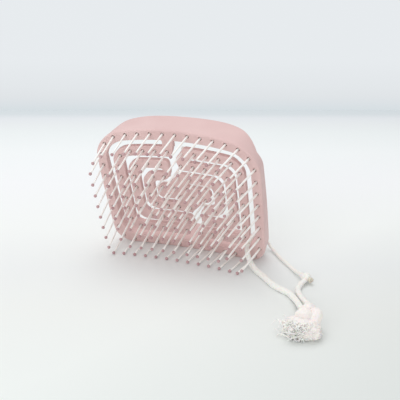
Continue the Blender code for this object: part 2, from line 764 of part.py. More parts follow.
def cord_mesh(name, route):
    curve = bpy.data.curves.new(name, "CURVE")
    curve.dimensions = "3D"
    curve.bevel_depth = CORD_DIAMETER / 2
    curve.bevel_resolution = 2
    curve.use_fill_caps = True
    points = route_points(route)
    spline = curve.splines.new("POLY")
    spline.points.add(len(points) - 1)
    for target, point in zip(spline.points, points):
        target.co = point.to_4d()
    source = make_object(name, curve, cutters)
    bpy.context.view_layer.update()
    evaluated = source.evaluated_get(bpy.context.evaluated_depsgraph_get())
    mesh = bpy.data.meshes.new_from_object(evaluated)
    bpy.data.objects.remove(source)
    bm = bmesh.new()
    bm.from_mesh(mesh)
    bmesh.ops.remove_doubles(bm, verts=bm.verts, dist=GAP / 30)
    return mesh_from(bm, name)


def ball_mesh(name, centre, radius, half_height, rings):
    bm = bmesh.new()
    place = Matrix.Translation(centre) @ Matrix.Diagonal((1.0, 1.0, half_height / radius, 1.0))
    bmesh.ops.create_uvsphere(bm, u_segments=2 * rings, v_segments=rings, radius=radius, matrix=place)
    return mesh_from(bm, name)


def fringe_mesh():
    """The frayed end of the lanyard, a flared and flattened cone that lies on the floor."""
    heading = Vector(FRINGE_HEADING).normalized()
    low = FRINGE_END_RADIUS * FRINGE_FLATTEN + GAP / 2
    start = Vector(TASSEL_PLACE) * MM + heading * (TASSEL_RADIUS + GAP)
    start.z = low
    bm = bmesh.new()
    add_rod(bm, start, start + heading * FRINGE_LENGTH, FRINGE_ROOT_RADIUS, FRINGE_END_RADIUS, 12)
    for vert in bm.verts:
        vert.co.z = low + (vert.co.z - low) * FRINGE_FLATTEN
    return mesh_from(bm, "tassel_fringe")


PLASTIC_LOOK = (PINK, 0.62)
NYLON_LOOK = (NYLON, 0.4)
COTTON_LOOK = (COTTON, 0.95)


def build_brush():
    stand = make_object("stand", None, parts)
    face = make_object("face_frame", None, parts, stand)
    face.rotation_euler = (math.pi / 2 + LEAN, 0.0, 0.0)
    face.location = (0.0, 0.0, -LAND_DEPTH * math.sin(LEAN))
    carriers = {"frame": face}
    for body, carrier in (("outer_loop", "frame"), ("middle_loop", "outer_loop"), ("core", "middle_loop")):
        carriers[body] = make_object(body + "_slide", None, parts, carriers[carrier])

    pins_of = {"frame": [], "outer_loop": [], "middle_loop": [], "core": []}
    for name, body, loop, angles in pin_runs():
        run = [make_pin(*loop_point(loop, angle)) for angle in angles]
        is_rim = body == "frame"
        outset = RIM_STRIP_OUTSET if is_rim else STRIP_WIDTH / 2
        width = RIM_STRIP_WIDTH if is_rim else STRIP_WIDTH
        outline = strip_outline(loop, angles, outset, width)
        make_part(name, pin_strip_mesh(name, outline, run), NYLON_LOOK, carriers[body])
        pins_of[body] += run
    outline, run = core_strip()
    make_part("core_pins", pin_strip_mesh("core_pins", outline, run), NYLON_LOOK, carriers["core"])
    pins_of["core"] += run

    body_of = {"outer_loop_left": "outer_loop", "outer_loop_right": "outer_loop",
               "middle_loop_left": "middle_loop", "middle_loop_right": "middle_loop", "core_loop": "core"}
    for name, mesh in labyrinth_pieces().items():
        body = body_of[name]
        mesh = boolean(mesh, hole_cutters(pins_of[body]), "DIFFERENCE", name + "_holes")
        make_part(name, mesh, PLASTIC_LOOK, carriers[body])
    shell = boolean(shell_mesh(), hole_cutters(pins_of["frame"]), "DIFFERENCE", "shell_holes")
    make_part("shell", shell, PLASTIC_LOOK, face)

    brush = [obj for obj in parts.objects if obj.type == "MESH"]

    for name, route in (("cord_front", CORD_FRONT_ROUTE), ("cord_back", CORD_BACK_ROUTE),
                        ("cord_tail", CORD_TAIL_ROUTE)):
        make_part(name, cord_mesh(name, route), COTTON_LOOK, stand)
    knot = ball_mesh("cord_knot", Vector(KNOT_PLACE) * MM, KNOT_RADIUS, KNOT_RADIUS, 6)
    make_part("cord_knot", knot, COTTON_LOOK, stand)
    tassel = ball_mesh("tassel_knot", Vector(TASSEL_PLACE) * MM, TASSEL_RADIUS, TASSEL_HALF_HEIGHT, 8)
    make_part("tassel_knot", tassel, COTTON_LOOK, stand)
    make_part("tassel_fringe", fringe_mesh(), COTTON_LOOK, stand)
    return stand, brush


def centre_on_footprint(stand, brush):
    """Moves the brush so that the origin lies under the middle of its box, on the floor."""
    bpy.context.view_layer.update()
    corners = [obj.matrix_world @ vert.co for obj in brush for vert in obj.data.vertices]
    for axis in (0, 1):
        values = [corner[axis] for corner in corners]
        stand.location[axis] = -(min(values) + max(values)) / 2
    bpy.context.view_layer.update()
    print("standing edge at", stand.location[:])


clear_scene()
parts = make_collection(PARTS)
cutters = make_collection("cutters")
centre_on_footprint(*build_brush())
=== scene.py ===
"""Looks of the palm hair brush: fine meshes, procedural materials, soft studio light and the camera.

The face frame and the stand frame are those of the CAD source, in metres.
"""
import random
from bisect import bisect_left
from collections import namedtuple
from itertools import accumulate, pairwise
from math import asin, atan2, ceil, copysign, cos, pi, radians, sin, sqrt, tan, tanh

import bmesh
import bpy
from mathutils import Matrix, Vector, noise
from mathutils.geometry import delaunay_2d_cdt
from mathutils.kdtree import KDTree


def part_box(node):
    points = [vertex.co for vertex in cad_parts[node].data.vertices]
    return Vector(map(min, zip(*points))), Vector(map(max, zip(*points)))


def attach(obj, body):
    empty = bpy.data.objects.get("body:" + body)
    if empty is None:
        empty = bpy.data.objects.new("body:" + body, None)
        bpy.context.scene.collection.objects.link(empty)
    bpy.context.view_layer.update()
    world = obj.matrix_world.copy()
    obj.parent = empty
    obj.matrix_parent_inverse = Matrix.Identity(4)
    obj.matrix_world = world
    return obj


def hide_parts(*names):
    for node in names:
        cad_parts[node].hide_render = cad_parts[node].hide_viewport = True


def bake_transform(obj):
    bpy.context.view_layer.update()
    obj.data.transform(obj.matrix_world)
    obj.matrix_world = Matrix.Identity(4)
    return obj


MM = 0.001
TURN = 2 * pi
UP = Vector((0.0, 0.0, 1.0))

# Stance
LEAN = radians(17.1)

# Face outline
FACE_HEIGHT = 70.0 * MM
FACE_HALF_WIDTH = 42.2 * MM
FACE_RADIUS = 208.0 * MM
TOP_SAG = 4.2 * MM
TOP_CORNER = 13.5 * MM
BOTTOM_CORNER = 9.3 * MM
SIDE_DRAW = 4.0 * MM
WIDEST_SHARE = 0.6

# Shell walls
PLATE = 2.4 * MM
RIM_WALL = 1.2 * MM
CREASE = 1.0 * MM
LAND_DEPTH = 1.3 * MM
SIDE_DEPTH = 3.3 * MM
SIDE_FALL = 3.6 * MM
CROWN_DEPTH = 12.4 * MM
CROWN_POWER = 4.5
CROWN_REACH_SHARE = 0.91
WALL_DRAFT = 0.9 * MM
INNER_FILLET = 0.9 * MM

# Labyrinth
SIDE_RING = 5.0 * MM
TOP_RING = 5.6 * MM
SIDE_SLOT = 3.1 * MM
TOP_SLOT = 3.4 * MM
INNER_SIDE_SLOT = 1.6 * MM
INNER_TOP_SLOT = 2.1 * MM
LABYRINTH_SHIFT = 0.6 * MM
S_GAP_SHIFT = 1.3 * MM
OPENING_DRAW_SHARE = 0.75
INSIDE_DRAW_SHARE = 0.45
OPENING_CORNER = 10.0 * MM
LEAST_CORNER = 1.2 * MM
STRIP_SHARES = (
    (0.164, 0.284, 0.33, 0.21),
    (0.174, 0.254, 0.355, 0.316),
    (0.1775, 0.259, 0.58, 0.52),
)
STRIP_DRAWS = (OPENING_DRAW_SHARE, INSIDE_DRAW_SHARE, 0.0, 0.0)
CORE_CORNER_SHARE = 0.8
END_ROUND = 1.8 * MM
NOTCH_ROUND = 0.7 * MM
ROOT_WIDTH = 5.6 * MM
ROOT_SHIFT = 4.4 * MM
EDGE_ROUND = 0.42 * MM
HOLE_ROUND = 0.16 * MM
BACK_EDGE_ROUND = 0.25 * MM

# Pins, their strips and their ball tips
PIN_PITCH = 6.4 * MM
PIN_LENGTH = 17.9 * MM
PIN_BASE_RADIUS = 0.5 * MM
PIN_END_RADIUS = 0.41 * MM
PIN_HOLE_RADIUS = 0.9 * MM
HOLE_MARGIN = 0.1 * MM
HOLE_CLEARANCE = 0.05 * MM
BALL_RADIUS = 0.8 * MM
PIN_FOOT = ((1.25, 0.0), (1.05, 0.5), (1.0, 0.92))
PIN_LEVELS = (0.02, 0.25, 0.5, 0.75, 0.97)
RIM_PIN_INSET = 2.7 * MM
RIM_PIN_TOP_INSET = 2.3 * MM
STRIP_THICKNESS = 1.2 * MM
STRIP_WIDTH = 3.0 * MM
RIM_STRIP_OUTSET = 0.6 * MM
RIM_STRIP_WIDTH = 1.8 * MM
STRIP_OVERHANG = 1.3 * MM
STRIP_CORNER = 0.5 * MM
STRIP_NOTCH = 0.3 * MM
STRIP_EDGE = 0.2 * MM
CORE_ROW_SHARE = 0.62
CORE_PITCH_SHARE = 0.465
CORE_SHIFT_SHARE = 0.088
CORE_PINS_PER_ROW = 4
GAP = 0.3 * MM

# Fineness of the meshes
LOOP_STEP = 0.5 * MM
CREASE_STEP = 0.8 * MM
GRID_STEP = 2.0 * MM
GRID_CLEAR = 0.8 * MM
BRIDGE_MARGIN = 0.8 * MM
BRIDGE_GRID_STEP = 0.45 * MM
BRIDGE_GRID_CLEAR = 0.25 * MM
BRIDGE_CATCH = 0.4 * MM
ROOT_MARGIN = 1.6 * MM
ROOT_REACH = 1.5 * MM
SEAM_MARGIN = 0.5 * MM
SEAM_REACH = 1.0 * MM
SECTION_STEPS = 5
PIN_SIDES = 12
BALL_SIDES = 16
HOLE_SIDES = 22
CORD_SIDES = 36
CORD_STEP = 0.18 * MM
CORD_REST = 0.04 * MM
BRAID_PITCH = 1.55
BRAID_CORE = 0.87
BRAID_DEPTH = 0.13
BRAID_STRANDS = 6
ARC_SAMPLES = 900
RUN_SAMPLES = 720
OUTLINE_SAMPLES = 2880
GAP_STEPS = 10
CORNER_STEPS = 8
LEAST_SIDE = 0.02 * MM
SHARP_TURN = radians(38)
MOST_TURN = 2.2
CORNER_SHARE = 0.46
LEAST_SLOT_AREA = 0.5 * MM * MM
ARC_PULL = 0.56
NEAR_BY = 0.05 * MM

# The lanyard's routes, as points of the stand frame in millimetres
CORD_DIAMETER = 2.4 * MM
CORD_FRONT_ROUTE = (
    (32.1, -4.5, 8.9), (32.1, -6.3, 8.0), (33.1, -8.9, 7.3), (34.2, -11.1, 6.3), (35.1, -12.2, 5.0),
    (36.2, -13.0, 3.6), (37.5, -14.0, 2.5), (39.4, -15.8, 1.8), (41.7, -18.0, 1.4), (44.6, -20.6, 1.3),
    (48.6, -24.8, 1.3), (52.2, -28.4, 1.3),
    (56.5, -31.4, 1.3), (60.9, -34.0, 1.4), (64.4, -38.2, 1.7), (67.2, -43.2, 2.6), (69.6, -48.6, 3.9),
    (71.6, -52.6, 4.9), (73.1, -55.1, 5.2),
)
CORD_BACK_ROUTE = (
    (32.1, -3.9, 9.1), (32.1, -0.9, 10.0), (32.2, 2.1, 10.8), (32.4, 5.2, 11.3), (32.9, 8.6, 11.1),
    (33.9, 11.6, 9.6), (35.3, 13.4, 7.0), (37.0, 13.6, 4.2), (39.3, 11.8, 2.2), (42.3, 8.6, 1.4),
    (46.3, 3.2, 1.3), (50.1, -1.2, 1.3), (54.0, -5.7, 1.3), (57.6, -10.1, 1.5), (60.6, -13.6, 2.1),
    (62.6, -15.6, 2.6),
)
CORD_TAIL_ROUTE = (
    (65.0, -20.6, 2.6), (64.0, -23.6, 1.9), (63.7, -27.4, 1.5), (64.6, -31.4, 1.5), (66.6, -35.6, 1.8),
    (69.2, -40.4, 2.6), (71.8, -45.4, 3.9), (74.2, -50.2, 5.2), (75.75, -54.1, 5.8),
)
KNOT_PLACE = (64.6, -17.6, 2.6)
TASSEL_PLACE = (76.6, -60.6, 5.7)
ROUTE_STEPS = 6

# Camera, in the stand frame
CAMERA_PLACE = Vector((130.225, -308.792, 141.18)) * MM
CAMERA_YAW = 0.386047
CAMERA_PITCH = 0.3300523
CAMERA_LENS_SHARE = 700 / 400
SENSOR = 36.0

# Colours, linear
PINKS = (0.705, 0.485, 0.472), (0.755, 0.54, 0.525)
NYLONS = (0.95, 0.93, 0.89), (0.99, 0.98, 0.96)
TIPS = (0.46, 0.27, 0.28), (0.55, 0.36, 0.37)
COTTONS = (
    ((0.86, 0.84, 0.79), (0.97, 0.96, 0.93)),
    ((0.86, 0.80, 0.765), (0.97, 0.93, 0.905)),
    ((0.975, 0.95, 0.91), (0.995, 0.98, 0.96)),
    ((0.66, 0.60, 0.49), (0.86, 0.81, 0.70)),
)

Loop = namedtuple("Loop", "half_x half_y top_corner low_corner draw shift")
Pin = namedtuple("Pin", "root knee ball")


def srgb(*levels):
    """A linear colour from levels of 0 to 255."""
    return tuple(((level / 255 + 0.055) / 1.055) ** 2.4 for level in levels) + (1.0,)


def feed(tree, node, inputs):
    """Sets a node's inputs to values, or links them to the outputs given."""
    for socket, value in inputs.items():
        if isinstance(value, bpy.types.NodeSocket):
            tree.links.new(value, node.inputs[socket])
        else:
            node.inputs[socket].default_value = value


def add_node(tree, kind, inputs, operation=None):
    """The first output of a new node."""
    node = tree.nodes.new("ShaderNode" + kind)
    if operation:
        node.operation = operation
    feed(tree, node, inputs)
    return node.outputs[0]


def own_place(tree):
    return add_node(tree, "TexCoord", {}).node.outputs["Object"]


def noise_of(tree, scale, detail, roughness=0.5, distortion=0.0):
    """A noise over the object's own coordinates."""
    return add_node(tree, "TexNoise", {"Vector": own_place(tree), "Scale": scale, "Detail": detail,
                                       "Roughness": roughness, "Distortion": distortion})


def span_of(tree, value, to_min, to_max, from_min=0.0, from_max=1.0):
    return add_node(tree, "MapRange", {"Value": value, "From Min": from_min, "From Max": from_max,
                                       "To Min": to_min, "To Max": to_max})


def ramp_of(tree, value, tones):
    """A colour read off a table of shares and colours."""
    ramp = add_node(tree, "ValToRGB", {"Fac": value})
    elements = ramp.node.color_ramp.elements
    while len(elements) < len(tones):
        elements.new(0.5)
    for k, (share, colour) in enumerate(tones):
        elements[k].position = share
        elements[k].color = colour
    return ramp


def new_material(name):
    material = bpy.data.materials.new(name)
    material.use_nodes = True
    return material, material.node_tree, material.node_tree.nodes["Principled BSDF"]


def grained_material(name, colours, drift, gloss, bumps, **settings):
    """A drift of colour, uneven gloss and bumps on top of each other, all from noises."""
    material, tree, shader = new_material(name)
    tones = [(share, (*colour, 1.0)) for share, colour in zip((0.35, 0.65), colours)]
    inputs = {"Base Color": ramp_of(tree, noise_of(tree, *drift), tones),
              "Roughness": span_of(tree, noise_of(tree, *gloss[:2]), *gloss[2:])}
    normal = {}
    for texture, distance, strength in bumps:
        height = noise_of(tree, *texture)
        normal["Normal"] = add_node(tree, "Bump", {"Height": height, "Distance": distance, "Strength": strength,
                                                   **normal})
    settings = {key.replace("_", " "): value for key, value in settings.items()}
    feed(tree, shader, {**inputs, **normal, **settings})
    return material


def cotton_material(name, colours):
    """Soft cotton: colour and relief of fine fibres, with a low sheen."""
    fibres = (1400.0, 6.0, 0.75, 1.5)
    return grained_material(name, colours, fibres, (500.0, 3.0, 0.85, 1.0),
                            ((fibres, 0.14 * MM, 0.6), ((420.0, 3.0), 0.2 * MM, 0.4)),
                            Sheen_Weight=0.25, Sheen_Roughness=0.5, Subsurface_Weight=0.1,
                            Subsurface_Scale=0.6 * MM)


def dress(obj, material):
    obj.data.materials.clear()
    obj.data.materials.append(material)


def link(obj):
    bpy.context.scene.collection.objects.link(obj)
    return obj


def new_object(name, mesh, material, body, node):
    """A piece that rides a body and stands for a CAD node."""
    mesh.name = name
    obj = link(bpy.data.objects.new(name, mesh))
    dress(obj, material)
    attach(obj, body)
    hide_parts(node)
    return obj


# The loops of the face


def bow(x):
    """How far the concave face stands forward of its middle."""
    return FACE_RADIUS - sqrt(FACE_RADIUS ** 2 - x ** 2)


def back_depth(x, y):
    share = min(abs(x) / (CROWN_REACH_SHARE * FACE_HALF_WIDTH), 1.0)
    side = SIDE_DEPTH + SIDE_FALL * (1.0 - y / FACE_HEIGHT)
    return side + CROWN_DEPTH * (1.0 - share ** CROWN_POWER)


def face_normal(x):
    lean = asin(x / FACE_RADIUS)
    return Vector((-sin(lean), 0.0, cos(lean)))


def inset(loop, distance):
    corners = (max(corner - distance, LEAST_CORNER) for corner in (loop.top_corner, loop.low_corner))
    return Loop(loop.half_x - distance, loop.half_y - distance, *corners, loop.draw, loop.shift)


def loop_point(loop, angle):
    """Where a ray from the middle meets a rounded rectangle with drawn-in sides and a sagging top."""
    cos_a, sin_a = abs(cos(angle)), abs(sin(angle))
    upper = sin(angle) > 0.0
    corner = loop.top_corner if upper else loop.low_corner
    centre_x = loop.half_x - corner
    centre_y = loop.half_y - corner
    if loop.half_x * sin_a <= centre_y * cos_a:
        reach = loop.half_x / cos_a
    elif loop.half_y * cos_a <= centre_x * sin_a:
        reach = loop.half_y / sin_a
    else:
        along = centre_x * cos_a + centre_y * sin_a
        reach = along + sqrt(along ** 2 - centre_x ** 2 - centre_y ** 2 + corner ** 2)
    x = reach * cos(angle)
    y = reach * sin(angle)
    fall = TOP_SAG * (x / FACE_HALF_WIDTH) ** 2 if upper else bow(x) * tan(LEAN)
    y_face = FACE_HEIGHT / 2 + y * (1.0 - fall / (FACE_HEIGHT / 2))
    off_widest = y_face / FACE_HEIGHT - WIDEST_SHARE
    x -= copysign(loop.draw * SIDE_DRAW * off_widest ** 2, x) * min(cos_a * reach / loop.half_x, 1.0)
    return x + loop.shift, y_face


def running_lengths(points):
    """How far along a line each of its points is."""
    return [0.0, *accumulate((b - a).length for a, b in pairwise(points))]


def point_at(line, lengths, distance):
    """The point that far along a line."""
    k = min(bisect_left(lengths, distance, 1), len(line) - 1) - 1
    share = (distance - lengths[k]) / max(lengths[k + 1] - lengths[k], 1e-12)
    return line[k].lerp(line[k + 1], min(max(share, 0.0), 1.0))


def even_points(points, step, closed):
    """Points at an even spacing of about one step along a line."""
    line = [Vector(p) for p in points]
    if closed:
        line.append(line[0])
    lengths = running_lengths(line)
    spaces = max(3, ceil(lengths[-1] / step))
    return [point_at(line, lengths, lengths[-1] * i / spaces) for i in range(spaces if closed else spaces + 1)]


def arc_of(loop, start, end, closed=False):
    """Evenly spaced points along a loop between two angles."""
    samples = [loop_point(loop, start + (end - start) * i / ARC_SAMPLES) for i in range(ARC_SAMPLES + (not closed))]
    return even_points(samples, LOOP_STEP, closed)


OUTLINE = Loop(FACE_HALF_WIDTH, FACE_HEIGHT / 2, TOP_CORNER, BOTTOM_CORNER, 1.0, 0.0)
OPENING = Loop(FACE_HALF_WIDTH - SIDE_RING, FACE_HEIGHT / 2 - TOP_RING, OPENING_CORNER, OPENING_CORNER,
               OPENING_DRAW_SHARE, 0.0)


def strip_edges():
    """The outer and the inner edge of each strip, from the outside in, then the edge of the core."""
    half_x = OPENING.half_x - SIDE_SLOT
    half_y = OPENING.half_y - TOP_SLOT
    room_x = half_x - len(STRIP_SHARES) * INNER_SIDE_SLOT
    room_y = half_y - len(STRIP_SHARES) * INNER_TOP_SLOT
    edges = []
    for i, (side, top, outer_corner, inner_corner) in enumerate(STRIP_SHARES):
        for corner, draw, in_x, in_y in ((outer_corner, STRIP_DRAWS[i], side * room_x, top * room_y),
                                         (inner_corner, STRIP_DRAWS[i + 1], INNER_SIDE_SLOT, INNER_TOP_SLOT)):
            corner *= half_y
            edges.append(Loop(half_x, half_y, corner, corner, draw, LABYRINTH_SHIFT if edges else 0.0))
            half_x -= in_x
            half_y -= in_y
    corner = CORE_CORNER_SHARE * half_y
    return edges + [Loop(half_x, half_y, corner, corner, 0.0, LABYRINTH_SHIFT)]


OUTER_EDGE, OUTER_INSIDE, MIDDLE_EDGE, MIDDLE_INSIDE, INNER_EDGE, INNER_INSIDE, CORE_EDGE = strip_edges()
SLOTS = (
    (OUTER_INSIDE, MIDDLE_EDGE, (101, 257)),
    (MIDDLE_INSIDE, INNER_EDGE, (128, 284)),
    (INNER_INSIDE, CORE_EDGE, (148, 242)),
)

S_GAP_SHARES = (
    (0.062, 1.063, 0.83), (0.019, 0.886, 0.77), (-0.029, 0.748, 0.51), (-0.067, 0.650, 0.45), (-0.088, 0.532, 0.65),
    (-0.079, 0.413, 0.78), (-0.084, 0.315, 0.69), (-0.129, 0.197, 0.40), (-0.188, 0.098, 0.33), (-0.264, 0.047, 0.32),
)


def smooth_path(points, steps):
    """Points along a smooth curve through the given points."""
    padded = points[:1] + points + points[-1:]
    path = []
    for before, first, second, after in zip(padded, points, points[1:], padded[3:]):
        for t in (step / steps for step in range(steps)):
            bend = (2 * before - 5 * first + 4 * second - after) * t ** 2
            twist = (3 * first - before - 3 * second + after) * t ** 3
            path.append((2 * first + (second - before) * t + bend + twist) / 2)
    return path + points[-1:]


def s_gap_path():
    low = FACE_HEIGHT / 2 + CORE_EDGE.half_y
    rise = OPENING.half_y - CORE_EDGE.half_y
    return smooth_path([Vector((across * OPENING.half_x, low + up * rise, width * PIN_PITCH))
                        for across, up, width in S_GAP_SHARES], GAP_STEPS)


def s_gap_x(y):
    """Where the S-shaped gap above or below the core crosses a height of the face."""
    is_lower = y < FACE_HEIGHT / 2
    level = FACE_HEIGHT - y if is_lower else y
    near = min(s_gap_path(), key=lambda point: abs(point.y - level))
    return 2 * S_GAP_SHIFT - near.x if is_lower else near.x


def runs_of(points):
    """The way a line runs at each of its points."""
    return [(after - before).normalized()
            for before, after in zip(points[:1] + points[:-1], points[1:] + points[-1:])]


def s_gap_outline():
    path = s_gap_path()
    flat = [point.to_2d() for point in path]
    offs = [Vector((run.y, -run.x)) * point.z / 2 for run, point in zip(runs_of(flat), path)]
    return [p + off for p, off in zip(flat, offs)] + [p - off for p, off in zip(flat, offs)][::-1]


def half_turn(outline, centre_x=LABYRINTH_SHIFT):
    return [Vector((2 * centre_x - p[0], FACE_HEIGHT - p[1])) for p in outline]


def rectangle(centre_x, centre_y, width, height):
    return [Vector((centre_x + sx * width / 2, centre_y + sy * height / 2))
            for sx, sy in ((-1, -1), (1, -1), (1, 1), (-1, 1))]


def area_of(outline):
    return sum(a[0] * b[1] - b[0] * a[1] for a, b in zip(outline, outline[1:] + outline[:1])) / 2


def anticlockwise(outline):
    return outline if area_of(outline) > 0 else outline[::-1]


def band(outer, inner, ends):
    """The outline between two loops from one angle to another."""
    return arc_of(outer, *ends) + arc_of(inner, *ends)[::-1]


def slot_outlines():
    slots = []
    for outer, inner, degrees in SLOTS:
        outline = band(outer, inner, [radians(d) for d in degrees])
        slots += [outline, half_turn(outline)]
    gap = s_gap_outline()
    return slots + [gap, half_turn(gap, S_GAP_SHIFT)]


def root_outlines():
    top = OPENING.half_y + GAP
    low = OUTER_EDGE.half_y - GAP
    root = rectangle(-ROOT_SHIFT, (FACE_HEIGHT + top + low) / 2, ROOT_WIDTH, top - low)
    return [root, half_turn(root, S_GAP_SHIFT)]


def bridge_boxes():
    """Where the strip passes from one body to the next: centre, half width, bodies, half height and the way up."""
    root_y = (FACE_HEIGHT + OPENING.half_y + OUTER_EDGE.half_y) / 2
    necks = [(-ROOT_SHIFT, root_y, S_GAP_SHIFT, ROOT_WIDTH / 2 + ROOT_MARGIN, ("frame", "outer_loop"), ROOT_REACH,
              -1.0)]
    for (outer, inner, degrees), end, bodies, way in ((SLOTS[0], 1, ("outer_loop", "middle_loop"), 1.0),
                                                      (SLOTS[1], 0, ("middle_loop", "core"), -1.0)):
        angle = radians(degrees[end])
        x, y = ((a + b) / 2 for a, b in zip(loop_point(outer, angle), loop_point(inner, angle)))
        gap_x = s_gap_x(y)
        necks.append(((x + gap_x) / 2, y, LABYRINTH_SHIFT, abs(gap_x - x) / 2 + SEAM_MARGIN, bodies, SEAM_REACH, way))
    return [box for x, y, pivot, half, bodies, reach, way in necks
            for box in (((x, y), half, bodies, reach, way),
                        ((2 * pivot - x, FACE_HEIGHT - y), half, bodies, reach, -way))]


# Plates with rounded edges


def sides_of(loop):
    """The directions of the sides of a closed line, each from its own point on."""
    return [(b - a).normalized() for a, b in pairwise(loop + loop[:1])]


def cut_corners(loop, convex, concave):
    """A closed line with its sharp corners rounded and its points about evenly spaced."""
    points = [p for i, p in enumerate(loop) if (p - loop[i - 1]).length > LEAST_SIDE]
    closed = points + points[:1]
    lengths = running_lengths(closed)
    total = lengths[-1]

    def at(distance):
        return point_at(closed, lengths, distance % total)

    sides = sides_of(points)
    turned = [atan2(sides[i - 1].cross(side), sides[i - 1].dot(side)) for i, side in enumerate(sides)]
    corners = [(place, turn) for place, turn in zip(lengths, turned) if abs(turn) > SHARP_TURN]
    if not corners:
        return even_points(points, LOOP_STEP, True)
    spans = [(corners[(k + 1) % len(corners)][0] - place) % total or total for k, (place, _) in enumerate(corners)]
    reaches = [min((convex if turn > 0 else concave) * tan(min(abs(turn), MOST_TURN) / 2),
                   CORNER_SHARE * spans[k - 1], CORNER_SHARE * spans[k]) for k, (_, turn) in enumerate(corners)]
    line = []
    for k, (place, _) in enumerate(corners):
        reach = reaches[k]
        start = at(place - reach)
        end = at(place + reach)
        first = start + (start - at(place - reach - NEAR_BY)).normalized() * reach * ARC_PULL
        second = end + (end - at(place + reach + NEAR_BY)).normalized() * reach * ARC_PULL
        for t in (step / CORNER_STEPS for step in range(CORNER_STEPS + 1)):
            s = 1.0 - t
            line.append(start * s ** 3 + first * 3 * s * s * t + second * 3 * s * t * t + end * t ** 3)
        span = spans[k] - reach - reaches[(k + 1) % len(corners)]
        steps = max(2, ceil(span / LOOP_STEP))
        line += [at(place + reach + span * step / steps) for step in range(1, steps)]
    return line


def triangulated(rings, loose, accuracy):
    """Triangles between closed rings and loose points: points in millimetres, triangles, sources and owners."""
    coords = []
    faces = []
    for ring in rings:
        faces.append(list(range(len(coords), len(coords) + len(ring))))
        coords += [p / MM for p in ring]
    verts, _, tris, sources, _, owners = delaunay_2d_cdt(coords + [p / MM for p in loose], [], faces, 1, accuracy)
    return verts, tris, sources, owners


def face_slots():
    """All slots of the face as clockwise loops with rounded corners."""
    outlines = [arc_of(loop, 0.0, TURN, True) for loop in (inset(OUTLINE, CREASE), OPENING, OUTER_EDGE)]
    rings = [anticlockwise(outline) for outline in outlines + root_outlines() + slot_outlines()]
    verts, tris, _, owners = triangulated(rings, [], 1e-4)
    sides = set()
    for tri, owner in zip(tris, owners):
        in_ring = 0 in owner and 1 not in owner
        in_root = 3 in owner or 4 in owner
        in_strip = 2 in owner and not any(i >= 5 for i in owner)
        if in_ring or in_root or in_strip:
            sides.update(zip(tri, tri[1:] + tri[:1]))
    rim = {a: b for a, b in sides if (b, a) not in sides}
    loops = []
    while rim:
        there = min(rim)
        loop = []
        while there in rim:
            loop.append(there)
            there = rim.pop(there)
        loops.append([verts[i] * MM for i in loop])
    return [cut_corners(loop, END_ROUND, NOTCH_ROUND) for loop in loops if area_of(loop) < -LEAST_SLOT_AREA]


def turns(count):
    """Even angles all the way round."""
    return [TURN * k / count for k in range(count)]


def quarter(steps):
    """Sine and cosine of even angles from none to a right angle."""
    return [(sin(a), cos(a)) for a in (pi / 2 * step / steps for step in range(steps + 1))]


def tree_of(points):
    tree = KDTree(len(points))
    for i, point in enumerate(points):
        tree.insert((point.x, point.y, 0.0), i)
    tree.balance()
    return tree


def grid_points(low, high, step, tree, clear):
    """A staggered grid of loose points that keep clear of the points in a tree."""
    rows, columns = (int((high[k] - low[k]) / step) + 1 for k in (1, 0))
    spots = [Vector((low[0] + (i + 0.5 * (j % 2)) * step, low[1] + j * step))
             for j in range(rows) for i in range(columns)]
    return [spot for spot in spots if tree.find(spot.to_3d())[2] > clear]


class Sheet:
    """A growing mesh in the face frame with its own normals, bent to the concave face."""

    def __init__(self):
        self.places = []
        self.normals = []
        self.faces = []

    def add(self, place, normal):
        """A point of the flat plate, moved forward by the bow."""
        slope = place.x / sqrt(FACE_RADIUS ** 2 - place.x ** 2)
        return self.add_plain(Vector((place.x, place.y, place.z + bow(place.x))),
                              Vector((normal.x - slope * normal.z, normal.y, normal.z)).normalized())

    def add_plain(self, place, normal):
        self.places.append(place)
        self.normals.append(normal)
        return len(self.places) - 1

    def bridge(self, rows):
        """Faces between closed rows of points."""
        for first, second in pairwise(rows):
            for i in range(len(first)):
                k = (i + 1) % len(first)
                self.faces.append((first[i], second[i], second[k], first[k]))

    def fill(self, outer, holes, height, up, grid):
        """A flat face between closed rows of points; grid gives loose points inside it."""
        rows = [row if area_of([self.places[i] for i in row]) > 0 else row[::-1] for row in [outer] + holes]
        ids = [i for row in rows for i in row]
        rings = [[self.places[i].to_2d() for i in row] for row in rows]
        verts, tris, sources, owners = triangulated(rings, grid, 1e-5)
        index = {i: ids[source[0]] for i, source in enumerate(sources) if source and source[0] < len(ids)}
        for tri in (tri for tri, owner in zip(tris, owners) if set(owner) == {0}):
            for i in tri:
                if i not in index:
                    index[i] = self.add(Vector((verts[i].x * MM, verts[i].y * MM, height)), UP if up else -UP)
            self.faces.append([index[i] for i in (tri if up else tri[::-1])])

    def rounded_side(self, loop, top, low, top_round, low_round, lean=0.0):
        """Rows of points down one side of the plate, with rounded edges; returns the first and the last row."""
        sides = sides_of(loop)
        runs = [(sides[i - 1] + side).normalized() for i, side in enumerate(sides)]
        normals = [Vector((run.y, -run.x)) for run in runs]
        levels = [(top_round * (1 - s), top - top_round * (1 - c), s, c) for s, c in quarter(SECTION_STEPS)]
        levels += [(low_round * (1 - c), low + low_round * (1 - s), c, -s) for s, c in quarter(3)]
        rows = [[self.add(Vector((flat.x + lean * height, flat.y, height)),
                          Vector((normal.x * side, normal.y * side, up)))
                 for flat, normal in ((p - n * back, n) for p, n in zip(loop, normals))]
                for back, height, side, up in levels]
        self.bridge(rows)
        return rows[0], rows[-1]

    def split(self, faces):
        """A mesh of some of the faces, in the row frame."""
        used = sorted({i for face in faces for i in face})
        new = {old: i for i, old in enumerate(used)}
        turn = face_to_row.to_3x3()
        return normal_mesh([face_to_row @ self.places[i] for i in used],
                           [[new[i] for i in face] for face in faces], [turn @ self.normals[i] for i in used])


